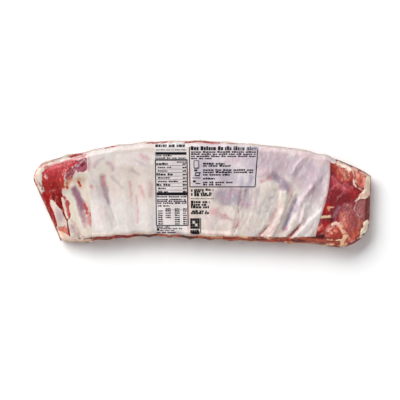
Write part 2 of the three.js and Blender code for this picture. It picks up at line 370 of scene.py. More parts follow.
    def plan(self, u: Array, v: Array) -> tuple[Array, Array]:
        """The plan of the slab.

        Args:
            u: Shares along the rack.
            v: Shares across it.

        Returns:
            The x and y of each point.
        """
        near = np.interp(u, self.station_u, self.station_near)
        far = np.interp(u, self.station_u, self.station_far)
        from_u, to_u = self.panel_u
        to_narrow_end = np.clip(1 - u / from_u, 0, 1) ** self.narrow_end_spread
        past_panel = part_way(u, to_u, 1)
        into_panel = part_way(u, self.panel_end_bow_from_u, to_u) ** 2
        bow_middle, bow_half = self.panel_end_bow_v
        bow = self.panel_end_bow * mound((v - bow_middle) / bow_half) * into_panel
        x = near + (far - near) * v
        x = x - self.narrow_end_bulge * self.narrow_bulge(v) * to_narrow_end
        x = x + bow * (1 - past_panel) + self.flap_end_bulge * self.flap_bulge(v) * past_panel
        near_y = self.curve(self.near_edge, near)
        far_y = self.curve(self.far_edge, far)
        near_y = near_y - self.rim_scallop * (2 * self.rib_ridge(near, near_y) - 1)
        far_y = far_y + self.rim_scallop * (4 * self.rib_ridge(far, far_y) - 1)
        return x, near_y + (far_y - near_y) * v

    def top(self, u: Array, v: Array) -> Array:
        """The height of the bone side over the table, rim rounding included.

        Args:
            u: Shares along the rack.
            v: Shares across it.

        Returns:
            Heights in mm.
        """
        x, y = self.plan(u, v)
        height = self.thickness - self.narrow_end_drop * mound(u / self.end_taper_share)
        height = height - self.broad_end_drop * mound((1 - u) / self.end_taper_share)
        height = height - self.hollow * mound(np.abs(2 * v - 1))
        low, high = self.rib_rise
        height = height + self.rib_ridge(x, y) * (low + (high - low) * u)
        for part in (*self.folds, *self.swellings):
            height = height + part.height(x, y)
        rim = np.ones(x.shape)
        for edge_u, edge_v in ((u, 0 * v), (u, 0 * v + 1), (0 * u, v), (0 * u + 1, v)):
            edge_x, edge_y = self.plan(edge_u, edge_v)
            rim = rim * quarter_round(np.hypot(x - edge_x, y - edge_y), self.top_rounding)
        return self.rim_height + (height - self.rim_height) * rim

    def span(self) -> Point:
        """The rack's length and width along its middle lines."""
        x, y = self.plan(np.array([0, 1, 0.5, 0.5]), np.array([0.5, 0.5, 0, 1]))
        return math.dist((x[0], y[0]), (x[1], y[1])), math.dist((x[2], y[2]), (x[3], y[3]))

    def slab(self, u: Array, v: Array, layer: Array, layers: int) -> Array:
        """The closed slab: its base in layer 0, then the rim turned under, and its top.

        Args:
            u: Shares along the rack.
            v: Shares across it.
            layer: Each point's layer.
            layers: The number of the top layer.

        Returns:
            Points in mm, one a row.
        """
        length, width = self.span()
        turn = layer / layers * np.pi / 2
        inset = np.where(layer == layers, 0, self.base_inset * (1 - np.sin(turn)))
        inner_u = inset / length + u * (1 - 2 * inset / length)
        inner_v = inset / width + v * (1 - 2 * inset / width)
        x, y = self.plan(inner_u, inner_v)
        z = np.where(layer == layers, self.top(u, v), self.rim_height * (1 - np.cos(turn)))
        return np.column_stack((x, y, z))

    def panel_rows(self, u: Array) -> tuple[Array, float]:
        """The stretch of v that the print panel covers at each u."""
        _, width = self.span()
        return self.curve(self.panel_near_inset, u) / width, 1 - self.panel_far_inset / width

    def shift(self) -> Array:
        """Works out what brings the rack's plan to the middle of its CAD node.

        Returns:
            The move in mm.
        """
        low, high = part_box("sealed_rack")
        edge = np.linspace(0, 1, 2001)
        flat, full = np.zeros(edge.shape), np.ones(edge.shape)
        x, y = self.plan(np.hstack((edge, edge, flat, full)), np.hstack((flat, full, edge, edge)))
        middle = np.array([x.min() + x.max(), y.min() + y.max()]) / 2
        return np.array([*(np.array((low + high)[:2]) / 2 / MM - middle), 0])


class Kind(Enum):
    """What a tissue does to the balance of lean and fat where it is laid."""

    FAT = "fat, bone and silver skin"
    LEAN = "muscle and blood"
    # Pale pink stains are also laid as painted highlights of the film
    STAIN = "blood and muscle that show through whatever is there"


class Tissue(Enum):
    """What shows at a point of the meat, and its colour: lean, then fat from FAT, then stains from ROSE."""

    LEAN = "972424"
    CRIMSON = "AE2A33"
    GARNET = "8F0A0C"
    BRIGHT = "AE1A18"
    BRIGHT_DARK = "A4141A"
    BLOOD = "980606"
    DROP = "B01208"
    STREAK = "AA4246"
    EMBER = "A22F27"
    DEEP = "780608"
    WINE = "6F0F1B"
    WINE_DEEP = "5C0812"
    MAROON = "862B31"
    BROWN_LEAN = "851A14"
    RED_BROWN = "A44E44"
    ROSE_BROWN = "A35A5C"
    RUST_ORANGE = "B84E2A"
    BRICK = "AD3F33"
    BRICK_DARK = "7C1C12"
    LOBE = "C95646"
    LOBE_DARK = "A8402F"
    SALMON = "BC6E60"
    SALMON_PALE = "DE917E"
    FLESH = "D38785"
    GREY_PINK = "9D5F5F"
    LENS = "8D4A51"
    BUNDLE = "96505F"
    STRIP = "7D3030"
    RUST = "82301E"
    UMBER = "3C120C"
    MARROW = "5C1212"
    FAT = "CDC3B4"
    FAT_LIGHT = "E6CFBA"
    # Fat painted paler than it is, as painted light where the flap's right end faces away from the key light
    SUET = "FFF0D8"
    SUET_PINK = "F6DACC"
    FROST = "EEDFDC"
    WARM_FAT = "E0B894"
    TAN_FAT = "C8906A"
    PINK_FAT = "DAA696"
    MEMBRANE = "D6C6BA"
    PEARL = "B69A9E"
    BLUSH = "CD8A8E"
    APRICOT = "CC8C6C"
    BONE = "DCC198"
    ROSE = "B84C54"
    ROSY = "CE6A6C"
    PINK = "CC7880"
    MAUVE = "A87C8C"
    PURPLE = "82566A"
    PURPLE_GREY = "8E6070"
    SLATE = "7C7288"
    ORCHID = "A85472"
    TAN = "BA977C"

    @property
    def kind(self) -> Kind:
        """Tells by the order of the members what the tissue is.

        Returns:
            Whether it is fat, lean or a stain.
        """
        order = list(Tissue)
        if self in order[order.index(Tissue.ROSE) :]:
            return Kind.STAIN
        return Kind.FAT if self in order[order.index(Tissue.FAT) :] else Kind.LEAN


class Veil(Enum):
    """The colours of the white ink over different things, with painted light and painted shade on its folds,
    creases and near edge.
    """

    CREAM = "CEC6BE"
    TALLOW = "C4BDB8"
    COOL = "D2D0D1"
    LAVENDER = "CABFCA"
    DEEP_LAVENDER = "A498A8"
    PINK_LAVENDER = "CFB4B8"
    FIELD = "D6D4D8"
    BOX = "BDBBD0"
    BRIGHT = "F0EAEA"
    # Dark lilac ink: painted shade in creases and wrinkles near the flap end, and the ink over dark purple
    # flesh
    SHADE = "847B8C"
    SEAM = "9C8078"
    # Painted light: near-white ink that lifts the shade on the panel's near edge and in a fold valley
    WARM_EDGE = "FFEFE2"


class Brush(Enum):
    """How a mark's edge is drawn: its softness in mm, its strength, and how far in mm it frays."""

    CRISP = (1.7, 0.97, 0.7)
    FINE = (1.5, 0.8, 0.5)
    THIN = (1.5, 0.55, 0.6)
    GHOST = (1.6, 0.4, 0.5)
    LIGHT = (2.0, 0.65, 0.7)
    FRAYED = (2.5, 0.95, 1.3)
    TORN = (2.1, 0.8, 1.5)
    PATCHY = (2.2, 0.55, 1.6)
    FAINT = (2.5, 0.45, 0.9)
    MISTY = (3.3, 0.6, 1.1)
    SOFT = (4.2, 0.85, 1.3)
    HAZY = (4.8, 0.5, 1.9)
    BILLOWY = (6.8, 0.75, 2.7)
    SPREAD = (8.5, 0.8, 0.6)
    CLOUDY = (10.6, 0.5, 4.2)
    BROAD = (20, 0.8, 1.6)


@dataclass(frozen=True)
class Daub:
    """One mark of colour, its sizes in mm."""

    colour: Tissue | Veil
    brush: Brush
    path: Points

    def depth(self, x: Array, y: Array) -> Array:
        """How far in mm each point is inside the mark's edge, below 0 outside."""
        raise NotImplementedError

    def mask(self, x: Array, y: Array, ragged: Array, blur: float = 0.0) -> Array:
        """How much of the mark lies on each point, its edge frayed by a noise and softer by a blur in mm."""
        soft, strength, rag = self.brush.value
        return strength * ramp((self.depth(x, y) + rag * ragged) / (soft + blur) + 0.5)


@dataclass(frozen=True)
class Stroke(Daub):
    """A mark along a path, its widths measured from the path to its edge."""

    width: float
    end_width: float | None = None

    def depth(self, x: Array, y: Array) -> Array:
        """How far in mm each point is inside the stroke's edge, below 0 outside."""
        away, share = along_path(x, y, self.path)
        return self.width + ((self.end_width or self.width) - self.width) * share - away


@dataclass(frozen=True)
class Patch(Daub):
    """An area of colour inside an outline."""

    def depth(self, x: Array, y: Array) -> Array:
        """How far in mm each point is inside the outline.

        Args:
            x: Where the points are along the rack.
            y: Where they are across it.

        Returns:
            Depths in mm, below 0 outside.
        """
        around = (*self.path, self.path[0])
        away, _ = along_path(x, y, around)
        inside = np.zeros(x.shape, bool)
        for (x0, y0), (x1, y1) in zip(around, around[1:]):
            if y0 != y1:
                inside ^= ((y0 > y) != (y1 > y)) & (x < x0 + (y - y0) / (y1 - y0) * (x1 - x0))
        return np.where(inside, away, -away)


def daubs(*rows: tuple) -> tuple[Daub, ...]:
    """Makes strokes of the rows that end with a width or two, and patches of the others."""
    return tuple(Stroke(*row) if len(row) > 3 else Patch(*row) for row in rows)


T = Tissue
B = Brush

# The sharp crease that crosses the panel: a dark line, a line in the ink and a groove in the film
CREASE = ((59, 5), (51, -11), (48, -18), (50, -31), (48, -42), (44, -51), (39, -61))

NARROW_END = daubs(
    (T.FAT, B.FRAYED, ((-229, 29), (-219, 42), (-192, 49), (-178, 50), (-177, 45), (-205, 35), (-213, 29),
        (-216, 20), (-213, 0), (-219, -2), (-228, 14))),
    (T.BLUSH, B.HAZY, ((-224, 23), (-223, 12)), 1.9),
    (T.RUST, B.PATCHY, ((-219, 13), (-217, 8)), 0.8),
    # Pink flesh at the far corner, with painted glints of the film on it
    (T.PINK, B.PATCHY, ((-219, 35), (-216, 39), (-208, 41)), 2.2, 1.6),
    (T.ROSE, B.FINE, ((-204, 43), (-202, 43)), 1.4),
    (T.CRIMSON, B.FRAYED, ((-216, 27), (-214, 30), (-206, 37), (-203, 36), (-192, 41), (-178, 44),
        (-170, 45), (-166, 43), (-167, 38), (-180, 32), (-186, 23), (-185, 12), (-189, 8), (-190, -5),
        (-204, -7), (-216, -2), (-213, 2), (-214, 6))),
    (T.LEAN, B.SPREAD, ((-197, 31), (-184, 38), (-186, 15), (-194, 10), (-215, 15), (-213, 23))),
    (T.BROWN_LEAN, B.SPREAD, ((-215, 14), (-202, 16), (-192, 12), (-189, 4), (-189, -5), (-213, -5))),
    (T.EMBER, B.SOFT, ((-196, 18), (-184, 19), (-186, 7), (-193, 3))),
    (T.GARNET, B.SOFT, ((-217, 0), (-205, 0), (-202, -7), (-211, -9))),
    (T.DEEP, B.FRAYED, ((-205, -2), (-189, 0), (-186, -25), (-187, -29), (-202, -9))),
    # The pink along the red muscle's top border, in the next two marks: pink flesh and painted sheen of the
    # film
    (T.BLUSH, B.SOFT, ((-209, 34), (-197, 40), (-173, 45)), 1.2, 1.8),
    (T.ROSY, B.SOFT, ((-205, 34), (-173, 42)), 2.2, 2.7),
    (T.PINK_FAT, B.FINE, ((-212, 22), (-210, 19)), 1.2),
    (T.PINK, B.THIN, ((-209, 28), (-208, 20)), 0.5),
    (T.FAT, B.PATCHY, ((-217, 16), (-215, 6)), 1.2),
    (T.LEAN, B.PATCHY, ((-216, 16), (-215, 11), (-216, 4)), 1.2),
    (T.RUST, B.TORN, ((-213, 11), (-212, 3)), 0.9),
    (T.BLUSH, B.PATCHY, ((-212, 27), (-209, 20), (-212, 16)), 1.0),
    (T.ROSE, B.TORN, ((-212, 34), (-209, 36)), 0.8),
    (T.CRIMSON, B.PATCHY, ((-218, 34), (-216, 39), (-207, 42)), 0.6),
    (T.PINK, B.FAINT, ((-206, 3), (-197, 4)), 0.7),
    (T.GARNET, B.CRISP, ((-218, -1), (-199, -46), (-195, -45), (-199, -28), (-204, -16), (-206, -7),
        (-211, -2))),
    (T.MEMBRANE, B.CRISP, ((-204, -10), (-201, -10), (-188, -26), (-183, -39), (-190, -43), (-196, -38),
        (-204, -19))),
    (T.PEARL, B.SPREAD, ((-200, -16), (-188, -29), (-186, -39), (-194, -38), (-198, -28))),
    (T.PINK, B.FINE, ((-205, -13), (-195, -39)), 0.5),
    (T.SALMON, B.FRAYED, ((-197, -46), (-185, -43), (-181, -48), (-178, -58), (-194, -51))),
    (T.PINK_FAT, B.PATCHY, ((-194, -48), (-189, -46)), 1.1),
    (T.WARM_FAT, B.TORN, ((-196, -50), (-184, -57), (-175, -61), (-159, -62), (-140, -59), (-136, -61),
        (-143, -69), (-189, -69))),
    (T.FAT, B.FRAYED, ((-188, 4), (-177, 10), (-166, -28), (-161, -61), (-177, -61), (-181, -39),
        (-186, -17))),
    (T.FAT_LIGHT, B.CRISP, ((-189, -6), (-180, -38)), 0.7),
    (T.STREAK, B.FRAYED, ((-188, -4), (-185, -4), (-180, -13), (-177, -29), (-179, -35), (-186, -12))),
    (T.DEEP, B.CRISP, ((-187, -27), (-182, -37), (-178, -58)), 0.6, 0.9),
    (T.PEARL, B.CRISP, ((-186, 17), (-185, 24), (-180, 33), (-168, 39), (-168, 32), (-173, 20), (-178, 16),
        (-184, 15))),
    (T.LENS, B.CRISP, ((-184, 19), (-184, 24), (-182, 28), (-173, 35), (-170, 35), (-170, 30), (-176, 19),
        (-180, 17))),
    (T.WINE, B.FINE, ((-185, 26), (-178, 33), (-172, 36)), 0.5),
    (T.WINE, B.THIN, ((-182, 19), (-176, 30)), 0.5),
    (T.PEARL, B.THIN, ((-179, 19), (-172, 32)), 0.5),
    (T.BUNDLE, B.CRISP, ((-168, 42), (-165, 45), (-158, 49), (-155, 47), (-155, 30), (-159, 27),
        (-168, 28), (-170, 33))),
    (T.WINE, B.FRAYED, ((-162, 37), (-158, 40)), 2, 1.6),
    (T.PEARL, B.FINE, ((-168, 35), (-160, 44)), 0.7),
    (T.PEARL, B.CRISP, ((-159, 47), (-157, 42)), 0.8),
    # Pink fat under the far edge, with a painted highlight of the film on it
    (T.BLUSH, B.CRISP, ((-179, 46), (-165, 50), (-157, 55), (-154, 53), (-158, 48), (-167, 45), (-172, 43))),
    (T.CRIMSON, B.CRISP, ((-181, 50), (-169, 54), (-157, 56), (-161, 52), (-178, 47))),
    (T.FAT, B.CRISP, ((-173, 20), (-169, 26), (-154, 28), (-152, 12), (-159, 16), (-177, 14))),
    (T.TAN, B.HAZY, ((-178, 15), (-159, 17)), 2.4),
    (T.TAN_FAT, B.BILLOWY, ((-187, 15), (-181, 17), (-177, 15), (-179, 10), (-183, 6), (-188, 6))),
    (T.RUST_ORANGE, B.HAZY, ((-186, 9), (-181, 15), (-176, 18)), 2.4),
    (T.TAN, B.MISTY, ((-178, 16), (-168, 20)), 1.6),
    (T.EMBER, B.CRISP, ((-183, 8), (-182, 7)), 1.2),
    (T.EMBER, B.LIGHT, ((-188, 12), (-187, 8)), 1.6),
    (T.APRICOT, B.LIGHT, ((-166, 17), (-164, 9)), 2.8),
    (T.DROP, B.CRISP, ((-166, 15), (-164, 10)), 1.9, 1.6),
    (T.PURPLE, B.MISTY, ((-176, 10), (-171, 11), (-162, -6), (-158, -21), (-156, -39), (-162, -39),
        (-175, 1))),
    (T.PURPLE, B.SOFT, ((-175, 8), (-170, 8), (-161, -8), (-159, -22), (-163, -26), (-175, 0))),
    (T.PURPLE_GREY, B.HAZY, ((-170, 4), (-163, -14)), 2.7),
    (T.MAUVE, B.HAZY, ((-160, -28), (-158, -44)), 2.2),
    (T.FAT, B.MISTY, ((-161, 16), (-154, 16), (-150, -25), (-153, -25), (-161, 2))),
    (T.BRICK, B.CRISP, ((-158, -16), (-156, -22), (-155, -28)), 1.3, 1.8),
    (T.ROSE, B.HAZY, ((-158, -14), (-153, -31)), 2.6),
    (T.ROSE, B.FRAYED, ((-154, -27), (-150, -43)), 0.7),
    (T.PINK, B.MISTY, ((-156, -28), (-153, -40)), 1.4),
    (T.STREAK, B.FINE, ((-151, -27), (-148, -42)), 0.5),
    (T.PURPLE, B.LIGHT, ((-176, -36), (-170, -50), (-166, -57)), 0.6),
    (T.PURPLE, B.LIGHT, ((-176, -43), (-170, -55), (-165, -61)), 0.6),
    (T.ROSE, B.THIN, ((-172, -39), (-165, -54), (-159, -59)), 0.5),
    (T.MAUVE, B.HAZY, ((-175, -46), (-171, -55)), 2.2),
    # A thin dark line along the narrow end's outline: the bag's edge, with painted shadow in the gap under it
    (T.UMBER, B.THIN, ((-227, 16), (-223, 6), (-218, -2), (-199, -44), (-189, -63)), 0.5),
    (T.MAROON, B.GHOST, ((-216, 41), (-181, 50)), 0.4),
)

UNDER_PANEL = daubs(
    (T.ORCHID, B.SOFT, ((-153, 49), (-153, 30)), 1.9),
    (T.MAUVE, B.SOFT, ((-145, 35), (-141, 43), (-132, 47)), 2.4, 1.6),
    (T.BRICK, B.SOFT, ((-150, 8), (-147, 7)), 1.9),
    (T.MAUVE, B.SOFT, ((-128, 40), (-122, 38), (-120, 32)), 2.6),
    (T.TAN, B.HAZY, ((-103, 36), (-100, 28)), 2.6),
    (T.SLATE, B.HAZY, ((-145, 15), (-139, 4), (-139, -8)), 3.4),
    (T.SLATE, B.MISTY, ((-122, 22), (-114, 14), (-108, 7)), 2.2),
    (T.PURPLE, B.SOFT, ((-137, 23), (-130, 23), (-126, 4), (-124, -12), (-128, -14), (-134, -1), (-137, 11))),
    (T.ROSE, B.SOFT, ((-134, 24), (-131, 11)), 2.0),
    (T.PURPLE, B.MISTY, ((-127, -9), (-123, -23)), 1.5, 0.8),
    (T.PURPLE, B.LIGHT, ((-124, -20), (-116, -42)), 0.9, 0.7),
    (T.ROSE, B.FAINT, ((-130, -18), (-128, -39)), 1.4),
    (T.ROSE, B.SOFT, ((-97, 15), (-95, -19)), 1.6, 0.9),
    (T.PINK, B.FRAYED, ((-89, -3), (-87, -20), (-87, -40)), 1.2),
    (T.ROSE, B.SOFT, ((-83, 8), (-78, -5)), 1.9, 1.5),
    (T.ROSE, B.HAZY, ((-69, 11), (-69, -3)), 3.0),
    (T.MAUVE, B.BILLOWY, ((-85, 53), (-73, 53), (-68, 45), (-76, 40), (-84, 45))),
    (T.PINK, B.MISTY, ((-81, 50), (-72, 46)), 1.8),
    (T.SLATE, B.SOFT, ((-88, 43), (-78, 38)), 1.2),
    (T.PURPLE, B.MISTY, ((-95, 31), (-85, 24)), 2.4, 1.6),
    (T.MAUVE, B.CLOUDY, ((-54, 45), (-24, 41), (-30, 25), (-49, 29))),
    (T.MAUVE, B.CLOUDY, ((-57, -2), (-22, -4), (-24, -17), (-54, -15))),
    (T.ROSE, B.SOFT, ((-18, 31), (-19, -55)), 1.1, 1.5),
    (T.SLATE, B.CLOUDY, ((-8, 45), (19, 42), (27, 29), (5, 10), (-13, 12))),
    (T.PURPLE, B.CLOUDY, ((16, 37), (41, 31), (49, 15), (32, 10), (14, 20))),
    (T.PINK, B.HAZY, ((31, 43), (45, 43)), 3.2),
    (T.MAUVE, B.CLOUDY, ((49, 56), (73, 54), (72, 34), (61, 37), (51, 46))),
    (T.SLATE, B.BILLOWY, ((12, 5), (51, 8), (59, 4), (51, -18), (40, -18), (21, -15), (13, -8))),
    (T.MAUVE, B.HAZY, ((46, 4), (27, -8)), 3.4),
    (T.FAT, B.MISTY, ((36, 7), (31, -4)), 1.1),
    (T.MAUVE, B.MISTY, ((40, 4), (35, -14)), 1.8),
    (T.SLATE, B.SOFT, ((59, 3), (55, -9), (52, -22)), 2.6, 1.8),
    (T.SLATE, B.MISTY, ((67, -4), (59, -19)), 1.4),
    (T.MAUVE, B.BILLOWY, ((55, -14), (74, -9), (78, -20), (67, -27), (55, -23))),
    (T.SLATE, B.HAZY, ((77, 7), (73, -8)), 1.6),
    (T.SLATE, B.HAZY, ((93, -8), (84, -24)), 1.8, 1.2),
    (T.FAT, B.FRAYED, ((71, 4), (66, -9)), 1.0),
    (T.FAT, B.FRAYED, ((74, -4), (69, -18)), 1.3),
    (T.PINK, B.BILLOWY, ((8, -23), (21, -20), (24, -28), (9, -30))),
    (T.ORCHID, B.SOFT, ((23, -28), (31, -28), (39, -35), (25, -36))),
    (T.SLATE, B.FAINT, ((34, -34), (40, -38)), 0.8),
    (T.ROSE, B.HAZY, ((40, -36), (50, -32), (50, -47), (43, -46))),
    (T.ROSE, B.FAINT, ((44, -46), (30, -50)), 1.2, 0.8),
    (T.ROSE, B.HAZY, ((63, -30), (55, -45)), 2.2, 1.2),
    (T.ORCHID, B.SOFT, ((58, -47), (63, -45), (66, -50), (61, -53))),
    (T.TAN, B.HAZY, ((50, -47), (58, -54)), 3.4),
    (T.MAUVE, B.MISTY, ((51, 5), (50, -16)), 1.3),
    (T.BRICK_DARK, B.LIGHT, CREASE, 0.9),
    (T.MAUVE, B.BROAD, ((76, 58), (122, 54), (157, 39), (167, 18), (157, -9), (132, 7), (119, 20),
        (92, 23), (76, 37))),
    (T.PURPLE, B.CLOUDY, ((81, 50), (113, 47), (122, 31), (100, 23), (81, 37))),
    (T.FAT, B.BILLOWY, ((113, 56), (124, 53), (122, 43), (113, 45))),
    (T.ROSE, B.HAZY, ((76, 35), (86, 34), (93, 26), (84, 21), (76, 23))),
    (T.ROSE, B.FRAYED, ((80, 16), (93, 20)), 2.4),
    (T.PURPLE, B.SOFT, ((93, 26), (107, 22), (113, 16), (119, 8), (116, 2), (105, 3))),
    (T.SLATE, B.HAZY, ((100, 22), (115, 6)), 2.7),
    (T.FAT, B.SOFT, ((84, 12), (92, 17), (101, 16), (104, 8), (99, 0), (97, -11), (81, -25), (80, -11),
        (81, 4))),
    (T.FAT, B.BILLOWY, ((59, -20), (81, -17), (100, -9), (101, -28), (89, -47), (73, -56), (51, -55),
        (54, -31))),
    (T.SLATE, B.HAZY, ((101, -4), (97, -19), (88, -36)), 1.9),
    (T.SLATE, B.HAZY, ((81, -15), (76, -28)), 2.2),
    (T.FAT, B.FRAYED, ((107, 0), (118, 1), (119, -7), (116, -23), (111, -38), (101, -51), (92, -55),
        (104, -24))),
    (T.PINK, B.FRAYED, ((118, 3), (121, -5)), 1.8, 0.9),
    (T.ROSE, B.MISTY, ((119, -8), (115, -24)), 1.1),
    # Painted shadow in the groove between two ridges of the bag near the flap end
    (T.SLATE, B.FRAYED, ((128, -9), (110, -50)), 2, 2.7),
    (T.PURPLE, B.TORN, ((131, -13), (124, -28)), 1.2),
    (T.ROSE, B.HAZY, ((113, -48), (100, -54)), 2.2),
    (T.ROSE, B.LIGHT, ((146, 4), (136, -8), (132, -17)), 0.8),
    (T.BRICK, B.PATCHY, ((157, 16), (140, -7)), 0.9, 0.7),
    (T.MAUVE, B.MISTY, ((132, 45), (120, 20)), 2.2),
    (T.ROSE, B.FAINT, ((100, -22), (92, -39)), 1.0),
    (T.BRICK, B.LIGHT, ((91, -43), (84, -50), (74, -60)), 1.2, 2.2),
    (T.BRICK_DARK, B.FINE, ((86, -47), (81, -53)), 1.1),
    (T.BRICK, B.CRISP, ((132, -43), (118, -59)), 1.1, 2.7),
    (T.UMBER, B.CRISP, ((130, -47), (120, -57)), 0.7, 1.5),
    (T.SLATE, B.SOFT, ((54, 22), (51, 8)), 1.8),
    (T.SLATE, B.SOFT, ((66, 22), (63, 8)), 2.4),
    (T.ROSE, B.FAINT, ((101, -42), (86, -59)), 1.2),
    (T.ROSE, B.MISTY, ((138, -20), (136, -35)), 1.5),
    (T.TAN, B.HAZY, ((101, -20), (86, -51)), 3.6),
    (T.TAN, B.FAINT, ((109, -1), (105, -18)), 2.0),
    (T.ROSE, B.FAINT, ((92, -46), (81, -58)), 1.4),
    (T.ROSE, B.FAINT, ((131, -46), (123, -58)), 1.6),
)

